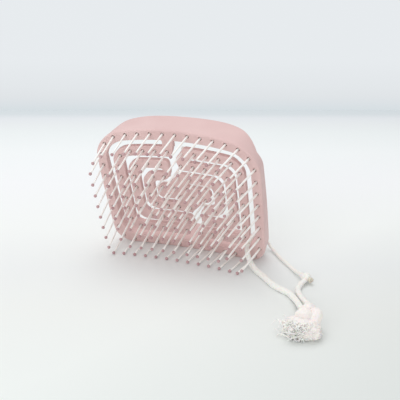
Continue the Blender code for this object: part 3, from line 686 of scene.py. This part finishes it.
def new_mesh(places, faces):
    mesh = bpy.data.meshes.new("part")
    mesh.from_pydata(places, [], faces)
    mesh.shade_smooth()
    return mesh


def normal_mesh(places, faces, normals):
    """A mesh with the given normals, one for each point or one for each corner."""
    mesh = new_mesh(places, faces)
    if len(normals) == len(places):
        mesh.normals_split_custom_set_from_vertices(normals)
    else:
        mesh.normals_split_custom_set(normals)
    mesh.update()
    return mesh


# Pins


def centre_line(outer, inner):
    return Loop(*((a + b) / 2 for a, b in zip(outer, inner)))


def measured_angles(loop, start, end, count):
    """Even angles along a part of a loop, and how far along it each of them is."""
    samples = [start + (end - start) * i / count for i in range(count + 1)]
    return samples, running_lengths([Vector(loop_point(loop, a)) for a in samples])


def spaced_angles(loop, degrees):
    """Angles between two others that leave pins about one pitch apart."""
    samples, lengths = measured_angles(loop, *(radians(d) for d in degrees), RUN_SAMPLES)
    spaces = max(1, round(lengths[-1] / PIN_PITCH))
    return [samples[min(range(len(lengths)), key=lambda j: abs(lengths[j] - lengths[-1] * i / spaces))]
            for i in range(spaces + 1)]


def split_runs(angles, loop, names):
    corner = atan2(loop.half_y, loop.half_x)
    limits = [corner, pi - corner, pi + corner, TURN - corner]
    runs = {}
    for angle in angles:
        side = sum(angle % TURN > limit for limit in limits) % 4
        runs.setdefault(names[side], []).append(angle)
    return runs


OUTER_LINE = centre_line(OUTER_EDGE, OUTER_INSIDE)
MIDDLE_LINE = centre_line(MIDDLE_EDGE, MIDDLE_INSIDE)
INNER_LINE = centre_line(INNER_EDGE, INNER_INSIDE)
RIM_LINE = inset(OUTLINE, RIM_PIN_INSET)._replace(half_y=OUTLINE.half_y - RIM_PIN_TOP_INSET)
RIM_PINS = (("top", (38, 142)), ("left", (150, 219)), ("bottom", (225.5, 314.5)), ("right", (319.5, 390.5)))
ARM_PINS = (
    ("outer", "outer_loop", OUTER_LINE, (103.5, 267), (106, 265)),
    ("middle", "middle_loop", MIDDLE_LINE, (124, 269), (118, 269)),
    ("inner", "core", INNER_LINE, (138, 284), (138, 284)),
)


def pin_runs():
    """Every run of pins: its node, the body that carries it, the outline of its strip and its pins."""
    lines = [("rim_pins_" + side, "frame", RIM_LINE, spaced_angles(RIM_LINE, degrees), RIM_STRIP_OUTSET,
              RIM_STRIP_WIDTH) for side, degrees in RIM_PINS]
    for name, body, loop, left, right in ARM_PINS:
        for degrees, turn, sides in ((left, 0.0, ("right", "top_left", "left", "bottom_left")),
                                     (right, pi, ("left", "bottom_right", "right", "top_right"))):
            lines += [(name + "_pins_" + side, body, loop, [a + turn for a in group], STRIP_WIDTH / 2, STRIP_WIDTH)
                      for side, group in split_runs(spaced_angles(loop, degrees), loop, sides).items()]
    runs = [(name, body, strip_outline(loop, angles, outset, width), [make_pin(*loop_point(loop, a)) for a in angles])
            for name, body, loop, angles, outset, width in lines]
    return runs + [("core_pins", "core", *core_pins())]


def floor_height(point):
    return point.y * cos(LEAN) - point.z * sin(LEAN) - LAND_DEPTH * sin(LEAN)


def make_pin(x, y):
    """A pin along the face's normal, bent up from the face where its ball would sink into the floor."""
    normal = face_normal(x)
    knee = Vector((x, y, bow(x)))
    direction = normal
    if floor_height(knee + normal * PIN_LENGTH) < BALL_RADIUS:
        down = (floor_height(knee) - BALL_RADIUS) / PIN_LENGTH
        forward = sqrt(1.0 - normal.x ** 2 - down ** 2)
        upright = Vector((normal.x, -forward, -down))
        direction = Matrix.Rotation(-(pi / 2 + LEAN), 3, "X") @ upright
    root = knee - normal * (PLATE + GAP + STRIP_THICKNESS / 2)
    return Pin(root, knee, knee + direction * PIN_LENGTH)


def core_pins():
    """The outline of the strip behind the core and its two staggered rows of pins."""
    middle = FACE_HEIGHT / 2
    pitch = CORE_PITCH_SHARE * CORE_EDGE.half_x
    shift_x = CORE_SHIFT_SHARE * CORE_EDGE.half_x
    rise = CORE_ROW_SHARE * CORE_EDGE.half_y
    places = [(CORE_EDGE.shift + row * ((i - (CORE_PINS_PER_ROW - 1) / 2) * pitch - shift_x), middle + row * rise)
              for row in (1, -1) for i in range(CORE_PINS_PER_ROW)]
    width = (CORE_PINS_PER_ROW - 1) * pitch + 2 * (shift_x + STRIP_OVERHANG)
    return rectangle(CORE_EDGE.shift, middle, width, 2 * (rise + STRIP_OVERHANG)), [make_pin(*p) for p in places]


def strip_outline(loop, angles, outset, width):
    """The outline of the strip behind a run of pins, a little longer than the run."""
    small = GAP / loop.half_x
    ends = []
    for angle, sign in ((angles[0], -1), (angles[-1], 1)):
        here, there = (Vector(loop_point(loop, a)) for a in (angle, angle + small))
        ends.append(angle + sign * STRIP_OVERHANG * small / (there - here).length)
    return band(inset(loop, -outset), inset(loop, width - outset), ends)


def frame_along(start, end):
    """A frame at the start that looks along Z to the end, with X kept square to the Y of the face."""
    z_axis = (end - start).normalized()
    x_axis = Vector((0.0, 1.0, 0.0)).cross(z_axis).normalized()
    turn = Matrix((x_axis, z_axis.cross(x_axis), z_axis)).transposed()
    return Matrix.Translation(start) @ turn.to_4x4()


def smooth_mesh(surfaces):
    """One mesh of closed surfaces, each round its own rows of points."""
    places = []
    faces = []
    for rows in surfaces:
        sides = len(rows[0])
        first = len(places)
        places += [p for row in rows for p in row]
        last = len(places) - sides
        faces += [(low + k, low + (k + 1) % sides, low + sides + (k + 1) % sides, low + sides + k)
                  for low in range(first, last, sides) for k in range(sides)]
        faces += [tuple(range(first, first + sides))[::-1], tuple(range(last, last + sides))]
    return new_mesh(places, faces)


def turned_rows(rings, sides):
    """Rows of points round rings, each a frame, a radius and a height along it, in the row frame."""
    return [[face_to_row @ (place @ Vector((radius * cos(a), radius * sin(a), height))) for a in turns(sides)]
            for place, radius, height in rings]


def pin_rings(pin):
    """A slim tapered pin with a soft bend at the face."""
    rooted = frame_along(pin.root, pin.knee)
    placed = frame_along(pin.knee, pin.ball)
    depth = (pin.knee - pin.root).length
    rings = [(rooted, PIN_BASE_RADIUS * wide, depth * share) for wide, share in PIN_FOOT]
    return rings + [(placed, PIN_BASE_RADIUS + (PIN_END_RADIUS - PIN_BASE_RADIUS) * share, PIN_LENGTH * share)
                    for share in PIN_LEVELS]


def ball_rings(pin):
    placed = frame_along(pin.knee, pin.ball)
    return [(placed, BALL_RADIUS * sin(a), PIN_LENGTH - BALL_RADIUS * cos(a))
            for a in (pi * step / 10 for step in range(1, 10))]


def make_pins(name, body, outline, pins):
    """One run of pins: the nylon strip with its pins, and the ball tips as a piece of their own."""
    sheet = Sheet()
    top = -PLATE - GAP
    low = top - STRIP_THICKNESS
    line = cut_corners([Vector(p) for p in anticlockwise(outline)], STRIP_CORNER, STRIP_NOTCH)
    first, last = sheet.rounded_side(line, top, low, STRIP_EDGE, STRIP_EDGE)
    sheet.fill(first, [], top, True, [])
    sheet.fill(last, [], low, False, [])
    rods = smooth_mesh([turned_rows(pin_rings(pin), PIN_SIDES) for pin in pins])
    tips = smooth_mesh([turned_rows(ball_rings(pin), BALL_SIDES) for pin in pins])
    new_object(name + "_nylon", joined([sheet.split(sheet.faces), rods]), nylon, body, name)
    new_object(name + "_tips", tips, tip_resin, body, name)


def joined(meshes):
    """One mesh of several, keeping the normals of each."""
    starts = [0, *accumulate(len(mesh.vertices) for mesh in meshes)]
    return normal_mesh([v.co.copy() for mesh in meshes for v in mesh.vertices],
                       [[start + i for i in polygon.vertices]
                        for start, mesh in zip(starts, meshes) for polygon in mesh.polygons],
                       [Vector(n.vector) for mesh in meshes for n in mesh.corner_normals])


# The face and the shell


def skirt_rows(sheet, crease_row, angles):
    """The skirt from the crease round the back edge to the back of the plate; returns its last row."""
    half = RIM_WALL / 2
    section = [(CREASE * (1 - s), "face", LAND_DEPTH * (1 - c)) for s, c in quarter(SECTION_STEPS)[1:]]
    section += [(WALL_DRAFT * share, "outside", share) for share in (0.15, 0.35, 0.55, 0.75, 0.93)]
    section += [(WALL_DRAFT + half - half * cos(a), "back", half * (1 - sin(a)))
                for a in (pi * step / 8 for step in range(1, 8))]
    section += [(RIM_WALL + WALL_DRAFT * share, "inside", share) for share in (0.93, 0.7, 0.45, 0.2)]
    section += [(RIM_WALL + INNER_FILLET * (1 - c), "face", PLATE + INNER_FILLET * (1 - s)) for s, c in quarter(4)]
    grid = []
    for inward, kind, value in section:
        row = []
        for x, y in (loop_point(inset(OUTLINE, inward), angle) for angle in angles):
            back = -back_depth(x, y)
            front = bow(x) - (LAND_DEPTH if kind == "outside" else PLATE + INNER_FILLET)
            heights = {"face": bow(x) - value, "back": back + value}
            row.append(Vector((x, y, heights.get(kind, front + (back + half - front) * value))))
        grid.append(row)
    rows = [crease_row]
    for before, row, after in zip([[sheet.places[i] for i in crease_row]] + grid, grid, grid[1:] + grid[-1:]):
        if row is grid[-1]:
            normals = [-face_normal(point.x) for point in row]
        else:
            normals = [(after[k] - before[k]).cross(row[(k + 1) % len(row)] - row[k - 1]).normalized()
                       for k in range(len(row))]
        rows.append([sheet.add_plain(*pair) for pair in zip(row, normals)])
    sheet.bridge(rows)
    return rows[-1]


def face_angles(step):
    """Angles round the outline that leave evenly spaced points on it."""
    samples, lengths = measured_angles(OUTLINE, 0.0, TURN, OUTLINE_SAMPLES)
    spaces = ceil(lengths[-1] / step)
    return [samples[bisect_left(lengths, lengths[-1] * i / spaces)] for i in range(spaces)]


def make_front(pins, boxes):
    """The whole front in one sheet: face ring, skirt and labyrinth strip."""
    sheet = Sheet()
    angles = face_angles(CREASE_STEP)
    crease_line = [Vector(loop_point(inset(OUTLINE, CREASE), a)) for a in angles]
    crease_row = [sheet.add(p.to_3d(), UP) for p in crease_line]
    slots = face_slots()
    slot_tree = tree_of([p for loop in slots for p in loop])
    crease_tree = tree_of(crease_line)
    ends = [sheet.rounded_side(loop, 0.0, -PLATE, EDGE_ROUND, BACK_EDGE_ROUND) for loop in slots]
    for pin in pins:
        spot = (pin.knee.x, pin.knee.y, 0.0)
        room = min(slot_tree.find(spot)[2] - EDGE_ROUND, crease_tree.find(spot)[2]) - HOLE_ROUND - HOLE_MARGIN
        radius = min(PIN_HOLE_RADIUS, room)
        if radius < PIN_BASE_RADIUS + HOLE_CLEARANCE:
            continue
        normal = face_normal(pin.knee.x)
        circle = [Vector((pin.knee.x + radius * cos(a), pin.knee.y - radius * sin(a))) for a in turns(HOLE_SIDES)]
        ends.append(sheet.rounded_side(circle, 0.0, -PLATE, HOLE_ROUND, HOLE_ROUND, normal.x / normal.z))
    tops, lows = (list(rows) for rows in zip(*ends))
    back_row = skirt_rows(sheet, crease_row, angles)
    near = tree_of(crease_line + [sheet.places[i].to_2d() for row in tops for i in row])
    grid = grid_points((-FACE_HALF_WIDTH, 0.0), (FACE_HALF_WIDTH, FACE_HEIGHT), GRID_STEP, near, GRID_CLEAR)
    for centre, half, _, reach, _ in boxes:
        low, high = ((centre[0] + way * half, centre[1] + way * reach + way * BRIDGE_MARGIN) for way in (-1, 1))
        grid = [p for p in grid if not (low[0] < p.x < high[0] and low[1] < p.y < high[1])]
        grid += grid_points(low, high, BRIDGE_GRID_STEP, near, BRIDGE_GRID_CLEAR)
    sheet.fill(crease_row, tops, 0.0, True, grid)
    sheet.fill(back_row, lows, -PLATE, False, grid)
    return sheet


def face_groups(faces, count):
    """The faces sorted by what hangs together."""
    parent = list(range(count))

    def find(i):
        while parent[i] != i:
            parent[i] = parent[parent[i]]
            i = parent[i]
        return i

    for face in faces:
        for i in face[1:]:
            parent[find(i)] = find(face[0])
    groups = {}
    for face in faces:
        groups.setdefault(find(face[0]), []).append(face)
    return list(groups.values())


PIECES = (
    ("shell", "frame", inset(OUTLINE, CREASE), 200),
    ("outer_loop_left", "outer_loop", OUTER_LINE, 182),
    ("outer_loop_right", "outer_loop", OUTER_LINE, 2),
    ("middle_loop_left", "middle_loop", MIDDLE_LINE, 182),
    ("middle_loop_right", "middle_loop", MIDDLE_LINE, 2),
    ("core_loop", "core", INNER_LINE, 182),
)


def build_front(pins):
    """The front, split into the pieces that ride one body and the necks that lie between two."""
    boxes = bridge_boxes()
    sheet = make_front(pins, boxes)
    necks = [[] for _ in boxes]
    rest = []
    for face in sheet.faces:
        centre = sum((sheet.places[i] for i in face), Vector()) / len(face)
        near = [k for k, (place, half, _, reach, _) in enumerate(boxes)
                if abs(centre.x - place[0]) < half and abs(centre.y - place[1]) < reach + BRIDGE_CATCH]
        (necks[near[0]] if near else rest).append(face)
    groups = face_groups(rest, len(sheet.places))
    for name, body, loop, degrees in PIECES:
        x, y = loop_point(loop, radians(degrees))
        seed = Vector((x, y, bow(x)))
        faces = min(groups, key=lambda group: min((sheet.places[f[0]] - seed).length_squared for f in group))
        new_object(name + "_skin", sheet.split(faces), plastic, body, name)
    for k, (faces, (place, _, bodies, reach, way)) in enumerate(zip(necks, boxes)):
        neck = link(bpy.data.objects.new("strip_neck_%d" % (k + 1), sheet.split(faces)))
        dress(neck, plastic)
        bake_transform(neck)


# The lanyard


def line_frames(points):
    """Frames along a line that turn as little as possible."""
    runs = runs_of(points)
    across = runs[0].orthogonal().normalized()
    frames = []
    for point, run in zip(points, runs):
        across = (across - run * across.dot(run)).normalized()
        frames.append((point, across, run.cross(across)))
    return frames


def braid_relief(turn, along):
    """The relief of a round braid: two families of strands that pass over and under each other."""
    first, second = (1 - abs(sin((BRAID_STRANDS * turn + way * along) / 2)) ** 3 for way in (1, -1))
    over = 0.5 + 0.5 * tanh(4 * cos(BRAID_STRANDS / 2 * turn) * cos(along / 2))
    return max(first * (0.55 + 0.45 * over), second * (1.0 - 0.45 * over))


def blended(table, share):
    """A value read off a table of (share, value) with straight lines between its rows."""
    for (low, first), (high, second) in zip(table, table[1:]):
        if share <= high:
            return first + (second - first) * (share - low) / (high - low)
    return table[-1][1]


def braided_tube(points, radius, widths=((0.0, 1.0), (1.0, 1.0))):
    """A braided cord along a line; the relief of its strands is real geometry.

    The widths give shares of the radius at shares of the way; a cord that lies down is flat below.
    """
    line = even_points(points, CORD_STEP * (1), False)
    lengths = running_lengths(line)
    rows = []
    for i, (centre, across, up) in enumerate(line_frames(line)):
        along = TURN * lengths[i] / (BRAID_PITCH * radius)
        wide = radius * blended(widths, i / (len(line) - 1))
        row = []
        for a in turns(CORD_SIDES):
            reach = wide * (BRAID_CORE + BRAID_DEPTH * braid_relief(a, along))
            point = centre + across * reach * cos(a) + up * reach * sin(a)
            point.z = max(point.z, CORD_REST)
            row.append(point)
        rows.append(row)
    return smooth_mesh([rows]), line, lengths[-1]


def in_row(points):
    return [Vector(p) * MM + Vector((0.0, shift, 0.0)) for p in points]


def knot_line(centre, size, height, turn):
    """The closed line of an overhand knot round a centre."""
    rotation = Matrix.Rotation(turn, 3, "Z")
    return [centre + rotation @ Vector(((sin(t) + 2 * sin(2 * t)) * size / 3, (cos(t) - 2 * cos(2 * t)) * size / 3,
                                        -sin(3 * t) * height)) for t in turns(90) + [TURN]]


def yarn_mesh(strands):
    """Loose yarns: each a list of points and a radius."""
    surfaces = []
    for points, radius in strands:
        rows = []
        for i, (centre, across, up) in enumerate(line_frames(points)):
            slim = radius * (1.0 - YARN_TAPER * (i / (len(points) - 1)) ** 3)
            rows.append([centre + across * slim * cos(a) + up * slim * sin(a) for a in turns(YARN_SIDES)])
        surfaces.append(rows)
    return smooth_mesh(surfaces)


YARN_STEPS = 12
YARN_SIDES = 5
YARN_REST = 0.3 * MM
YARN_RADII = (0.18, 0.36)
YARN_TAPER = 0.55
YARN_SAG = Vector((0.0, 0.0, -0.12))
FRAY_FLATNESS = 0.8
FRAY_FANS = (0.5, 1.1)
FRAY_LENGTHS = (0.65, 1.0)
FRAY_CURLS = (0.03, 0.11)
FRAY_WAVES = (0.8, 2.4)


def frayed_end(seed, start, heading, count, length, spread, radius):
    """Yarns that leave a cut end, fan out, wander and curl, above the floor."""
    chance = random.Random(seed)
    side = heading.cross(UP).normalized()
    up = side.cross(heading).normalized()
    strands = []
    for _ in range(count):
        turn = chance.uniform(0, TURN)
        out = sqrt(chance.random())
        off = side * cos(turn) * out + up * sin(turn) * out * FRAY_FLATNESS
        run = (heading + off * spread * chance.uniform(*FRAY_FANS) + YARN_SAG).normalized()
        long = length * chance.uniform(*FRAY_LENGTHS)
        curl = chance.uniform(*FRAY_CURLS) * length
        phase = chance.uniform(0, TURN)
        waves = chance.uniform(*FRAY_WAVES)
        wave_side = run.orthogonal().normalized()
        wave_up = run.cross(wave_side)
        points = []
        for t in (step / YARN_STEPS for step in range(YARN_STEPS + 1)):
            a = phase + waves * TURN * t
            point = start + off * radius + run * long * t
            point += (wave_side * cos(a) + wave_up * sin(a)) * curl * t * (1 + t)
            point.z = max(point.z, YARN_REST)
            points.append(point)
        strands.append((points, chance.uniform(*YARN_RADII) * MM))
    return strands


CORD_ENDS = ((-3.4, -0.5, 4.6), (-1.7, -0.2, 5.4), (0.0, 0.05, 5.8), (1.8, 0.3, 5.4), (3.4, 0.6, 4.6))
FRINGE_PARTS = (
    (3, -0.62, 2.4 * MM, 70, 6.2 * MM, 0.55),
    (5, -0.15, 3.0 * MM, 110, 5.8 * MM, 0.65),
    (9, 0.35, 3.0 * MM, 110, 5.4 * MM, 0.65),
    (13, 0.85, 2.2 * MM, 60, 4.8 * MM, 0.6),
    (17, -0.55, 2.0 * MM, 12, 10.5 * MM, 0.6),
)
FRINGE_RADIUS = 3.1 * MM
FLUFF_REACH = (8.5 * MM, 5.1 * MM, 4.2 * MM)
FLUFF_AWAY = 1.6 * MM
FLUFF_HEIGHT = 3.1 * MM
# Size, height and turn of the line of a knot
SMALL_KNOT = (1.6 * MM, 0.75 * MM, 0.4)
TASSEL_KNOT = (3.9 * MM, 2.7 * MM, 0.9)
SMALL_KNOT_RADIUS = 1.2 * MM
SMALL_END_RADIUS = 1.25 * MM
SMALL_END_WAY = Vector((0.86, -0.50, -0.10)).normalized()
TASSEL_WAY = Vector((-0.30, -0.95, 0.0)).normalized()
TASSEL_WRAP_RADIUS = 2.35 * MM
TASSEL_END_RADIUS = 1.9 * MM
TASSEL_ROOT_AWAY = 3.4 * MM
TASSEL_ROOT_HEIGHT = 4.0 * MM
CORD_WIDTHS = {
    "lanyard_front": ((0.0, 0.9), (0.1, 1.05), (0.22, 1.2), (0.6, 1.26), (0.85, 1.1), (1.0, 1.0)),
    "lanyard_back": ((0.0, 0.85), (0.3, 0.72), (0.85, 0.72), (0.95, 0.85), (1.0, 1.0)),
    "lanyard_tail": ((0.0, 0.95), (0.3, 1.1), (1.0, 1.05)),
}


def fluff_mesh(centre, run):
    """The soft body of teased cotton that the loose yarns come out of, lumpy and combed outwards."""
    side = run.cross(UP)
    bm = bmesh.new()
    bmesh.ops.create_icosphere(bm, subdivisions=6, radius=1.0)
    for vert in bm.verts:
        way = vert.co.normalized()
        comb = sin(34.0 * atan2(way.x, way.z + 0.4) + 5.0 * noise.noise(way * 3.0))
        lump = noise.fractal(way * 2.6, 0.7, 2.1, 4)
        reach = 1.0 + 0.10 * lump + 0.022 * comb * (0.5 + noise.noise(way * 7.0)) + 0.02 * noise.noise(way * 24.0)
        place = centre + (side * way.x * FLUFF_REACH[0] + run * way.y * FLUFF_REACH[1]) * reach
        place.z += way.z * FLUFF_REACH[2] * reach
        place.z = max(place.z, CORD_REST)
        vert.co = place
    mesh = bpy.data.meshes.new("fluff")
    bm.to_mesh(mesh)
    bm.free()
    mesh.shade_smooth()
    return mesh


def cotton_piece(name, mesh, material, node):
    return new_object(name, mesh, material, "frame", node)


def small_knot_pieces():
    """The overhand knot on the back strand and its cut end."""
    knot_at = in_row([KNOT_PLACE])[0]
    stub = [knot_at + SMALL_END_WAY * d * MM for d in (0.8, 1.6, 2.5, 3.4)]
    frays = frayed_end(7, stub[-1] - SMALL_END_WAY * 0.5 * MM, SMALL_END_WAY, count=60, length=1.1 * MM,
                       spread=0.45, radius=0.95 * MM)
    wraps = braided_tube(knot_line(knot_at, *SMALL_KNOT), SMALL_KNOT_RADIUS)[0]
    return [cotton_piece("small_knot", wraps, cotton, "cord_knot"),
            cotton_piece("small_knot_end", braided_tube(stub, SMALL_END_RADIUS)[0], cotton_cut, "cord_knot"),
            cotton_piece("small_knot_fray", yarn_mesh(frays), cotton_cut, "cord_knot")]


def tassel_pieces():
    """The large end knot, the cord ends that leave it and the fringe they fray into."""
    tassel_at = in_row([TASSEL_PLACE])[0]
    side = TASSEL_WAY.cross(UP)
    root = tassel_at + TASSEL_WAY * TASSEL_ROOT_AWAY
    root.z = TASSEL_ROOT_HEIGHT
    wraps = braided_tube(knot_line(tassel_at, *TASSEL_KNOT), TASSEL_WRAP_RADIUS)[0]
    parts = [("tassel_wraps", wraps, cotton_warm, "tassel_knot")]
    for k, (off, turn, length) in enumerate(CORD_ENDS):
        run = Matrix.Rotation(turn, 3, "Z") @ TASSEL_WAY
        line = [root + (side * off + run * d - Vector((0.0, 0.0, 0.2 * d))) * MM for d in (-1.5, 0.5, 2.5, length)]
        mesh = braided_tube(line, TASSEL_END_RADIUS, ((0.0, 1.0), (0.6, 1.0), (1.0, 0.7)))[0]
        parts.append(("tassel_end_%d" % (k + 1), mesh, cotton_warm, "tassel_knot"))
    for k, route in enumerate((CORD_FRONT_ROUTE, CORD_TAIL_ROUTE)):
        before, last = in_row(route[-2:])
        line = [last.lerp(before, 0.25), last, last.lerp(tassel_at, 0.3), last.lerp(tassel_at, 0.6)]
        parts.append(("tassel_neck_%d" % (k + 1), braided_tube(line, CORD_DIAMETER / 2)[0], cotton, "tassel_knot"))
    centre = Vector((root.x, root.y, FLUFF_HEIGHT)) + TASSEL_WAY * FLUFF_AWAY
    parts.append(("tassel_fluff", fluff_mesh(centre, TASSEL_WAY), cotton_warm, "tassel_fringe"))
    strands = []
    for seed, turn, start, count, length, spread in FRINGE_PARTS:
        run = Matrix.Rotation(turn, 3, "Z") @ TASSEL_WAY
        count //= 1
        strands += frayed_end(seed, root + run * start, run, count, length, spread, FRINGE_RADIUS)
    parts.append(("tassel_yarns", yarn_mesh(strands), cotton_end, "tassel_fringe"))
    return [cotton_piece(*part) for part in parts]


def make_lanyard():
    small_pieces = small_knot_pieces()
    big_pieces = tassel_pieces()
    for name, route, pieces in (("lanyard_front", CORD_FRONT_ROUTE, big_pieces),
                                ("lanyard_back", CORD_BACK_ROUTE, small_pieces),
                                ("lanyard_tail", CORD_TAIL_ROUTE, [])):
        points = smooth_path(in_row(route), ROUTE_STEPS)
        mesh, line, length = braided_tube(points, CORD_DIAMETER / 2, CORD_WIDTHS[name])
        cord = cotton_piece(name, mesh, cotton, name.replace("lanyard", "cord"))


# Camera, light and surroundings


def make_camera():
    data = bpy.data.cameras.new("photo_camera")
    data.sensor_width = SENSOR
    data.lens = SENSOR * CAMERA_LENS_SHARE
    camera = link(bpy.data.objects.new("photo_camera", data))
    camera.location = CAMERA_PLACE + Vector((0.0, shift, 0.0))
    camera.rotation_euler = (pi / 2 - CAMERA_PITCH, 0.0, CAMERA_YAW)
    bpy.context.scene.camera = camera


# Surroundings, in metres: distances along the floor or up the wall with the levels seen there. The levels are painted
# light and shade: the floor lighter across its middle and darker towards the wall, the wall darker at its foot where
# it meets the floor.
WALL_AWAY = 0.363
FLOOR_REACH = 3.0
WALL_HEIGHT = 2.0
FLOOR_PAINTED_LIGHT_LEVELS = (
    (-0.13, 237, 242, 240), (-0.06, 238, 241, 239), (-0.015, 237, 240, 240), (0.04, 243, 246, 245),
    (0.12, 245, 247, 249), (0.20, 244, 248, 249), (0.266, 239, 244, 245), (0.298, 236, 240, 242),
    (0.325, 232, 236, 240), (0.343, 221, 228, 232), (WALL_AWAY, 218, 226, 230),
)
# The wall's levels: painted shade, darker at its foot, even above
WALL_PAINTED_SHADE_LEVELS = (
    (0.0, 215, 223, 227), (0.006, 220, 226, 230), (0.0134, 225, 229, 232), (0.0234, 228, 232, 235),
    (0.048, 232, 236, 239), (0.3, 232, 236, 239),
)
# Painted shade on the floor: it darkens towards its near right corner, over this span of X less Y, down to this share
PAINTED_SHADE_FROM = 0.06
PAINTED_SHADE_TO = 0.20
PAINTED_SHADE_SHARE = 0.87
WORLD_STRENGTH = 0.70
LAMPS = (("key", (-0.16, 0.16, 0.80), 1.9, 0.6), ("fill", (0.0, -0.80, 0.38), 2.1, 0.7))


def show_directly(tree, output, others, direct):
    """One shader for the rays that see a surface as the camera does, straight or in metal or glass."""
    path = add_node(tree, "LightPath", {}).node.outputs
    either = add_node(tree, "Math", {0: path["Is Camera Ray"], 1: path["Is Glossy Ray"]}, "MAXIMUM")
    any_of = add_node(tree, "Math", {0: either, 1: path["Is Transmission Ray"]}, "MAXIMUM")
    feed(tree, tree.nodes[output], {"Surface": add_node(tree, "MixShader", {0: any_of, 1: others, 2: direct})})


def tone_material(name, tones, is_plain):
    """A matt surface whose colour runs along its own Y, with faint clouds; that run of colour is painted light and
    shade, and all but a plain one are also darkened towards the near right corner by painted shade.

    A plain one glows with just that colour for direct rays and lets the light of the world through.
    """
    material, tree, shader = new_material(name)
    low, high = tones[0][0], tones[-1][0]
    x, y = add_node(tree, "SeparateXYZ", {"Vector": own_place(tree)}).node.outputs[:2]
    # Painted light and shade: the colour runs through the table's levels along the surface's Y
    colour = ramp_of(tree, span_of(tree, y, 0.0, 1.0, low, high),
                     [((distance - low) / (high - low), srgb(*levels)) for distance, *levels in tones])
    cloud = span_of(tree, noise_of(tree, 6.0, 2.0), 0.985, 1.0)
    # Painted shade: a surface that is not plain darkens towards its near right corner
    aside = add_node(tree, "Math", {0: x, 1: y}, "SUBTRACT")
    painted_shade = span_of(tree, aside, 1.0, 1.0 if is_plain else PAINTED_SHADE_SHARE, PAINTED_SHADE_FROM, PAINTED_SHADE_TO)
    level = add_node(tree, "Math", {0: cloud, 1: painted_shade}, "MULTIPLY")
    shown = add_node(tree, "VectorMath", {0: colour, "Scale": level}, "SCALE")
    feed(tree, shader, {"Roughness": 0.9, "Specular IOR Level": 0.0})
    if is_plain:
        feed(tree, shader, {"Base Color": (0.0, 0.0, 0.0, 1.0), "Emission Strength": 1.0, "Emission Color": shown})
        show_directly(tree, "Material Output", add_node(tree, "BsdfTransparent", {}), shader.outputs[0])
    else:
        feed(tree, shader, {"Base Color": shown})
    return material


def make_stage():
    """A pale floor and a backdrop, both square to the camera, under an even sky and two soft lamps."""
    turn = Matrix.Rotation(CAMERA_YAW, 4, "Z")
    upright = turn @ Matrix.Translation((0.0, WALL_AWAY, 0.0)) @ Matrix.Rotation(pi / 2, 4, "X")
    for name, low, high, matrix, tones, is_plain in (
            ("floor", -FLOOR_REACH, WALL_AWAY, turn, FLOOR_PAINTED_LIGHT_LEVELS, False),
            ("wall", 0.0, WALL_HEIGHT, upright, WALL_PAINTED_SHADE_LEVELS, True)):
        mesh = bpy.data.meshes.new(name)
        corners = ((-1, low), (1, low), (1, high), (-1, high))
        mesh.from_pydata([(side * FLOOR_REACH, y, 0.0) for side, y in corners], [], [(0, 1, 2, 3)])
        surface = link(bpy.data.objects.new(name, mesh))
        surface.matrix_world = matrix
        dress(surface, tone_material(name + "_finish", tones, is_plain))
    world = bpy.data.worlds.new("studio")
    bpy.context.scene.world = world
    world.use_nodes = True
    tree = world.node_tree
    sky = tree.nodes["Background"]
    feed(tree, sky, {"Color": (1.0, 1.0, 1.0, 1.0), "Strength": WORLD_STRENGTH})
    shown = add_node(tree, "Background", {"Color": srgb(*WALL_PAINTED_SHADE_LEVELS[-1][1:])})
    show_directly(tree, "World Output", sky.outputs[0], shown)
    for name, place, power, wide in LAMPS:
        lamp = bpy.data.lights.new(name, "AREA")
        lamp.size = wide
        lamp.energy = power
        obj = link(bpy.data.objects.new(name, lamp))
        obj.location = place
        obj.rotation_euler = (-obj.location).to_track_quat("-Z", "Y").to_euler()


def stand_shift():
    """How far the CAD model moved the stand frame back, read from the tassel's knot."""
    low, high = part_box("tassel_knot")
    return (low[1] + high[1]) / 2 - TASSEL_PLACE[1] * MM


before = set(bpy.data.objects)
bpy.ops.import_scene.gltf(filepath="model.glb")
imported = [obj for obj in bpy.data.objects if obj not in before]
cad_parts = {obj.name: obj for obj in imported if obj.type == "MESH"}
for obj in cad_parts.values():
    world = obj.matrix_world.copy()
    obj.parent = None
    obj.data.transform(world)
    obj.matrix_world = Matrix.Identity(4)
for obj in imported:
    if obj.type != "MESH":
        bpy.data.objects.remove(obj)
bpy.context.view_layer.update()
bpy.context.scene.view_settings.view_transform = "Standard"
shift = stand_shift()
face_to_row = (Matrix.Translation((0.0, shift, -LAND_DEPTH * sin(LEAN)))
               @ Matrix.Rotation(pi / 2 + LEAN, 4, "X"))
make_camera()
make_stage()

plastic = grained_material("pink_plastic", PINKS, (45.0, 2.0), (600.0, 3.0, 0.48, 0.66),
                           (((2600.0, 2.0), 0.03 * MM, 0.5), ((90.0, 1.0), 0.12 * MM, 0.25)))
nylon = grained_material("pin_nylon", NYLONS, (160.0, 1.0), (900.0, 2.0, 0.26, 0.44),
                         (((1500.0, 1.0), 0.02 * MM, 0.4),), Coat_Weight=0.2, Coat_Roughness=0.3)
tip_resin = grained_material("tip_resin", TIPS, (300.0, 2.0), (1200.0, 2.0, 0.3, 0.5),
                             (((1800.0, 2.0), 0.03 * MM, 0.4),))
cotton, cotton_warm, cotton_end, cotton_cut = (
    cotton_material(name, colours)
    for name, colours in zip(("cotton", "cotton_warm", "cotton_end", "cotton_cut"), COTTONS))

runs = pin_runs()
for run in runs:
    make_pins(*run)
build_front([pin for *_, pins in runs for pin in pins])
make_lanyard()
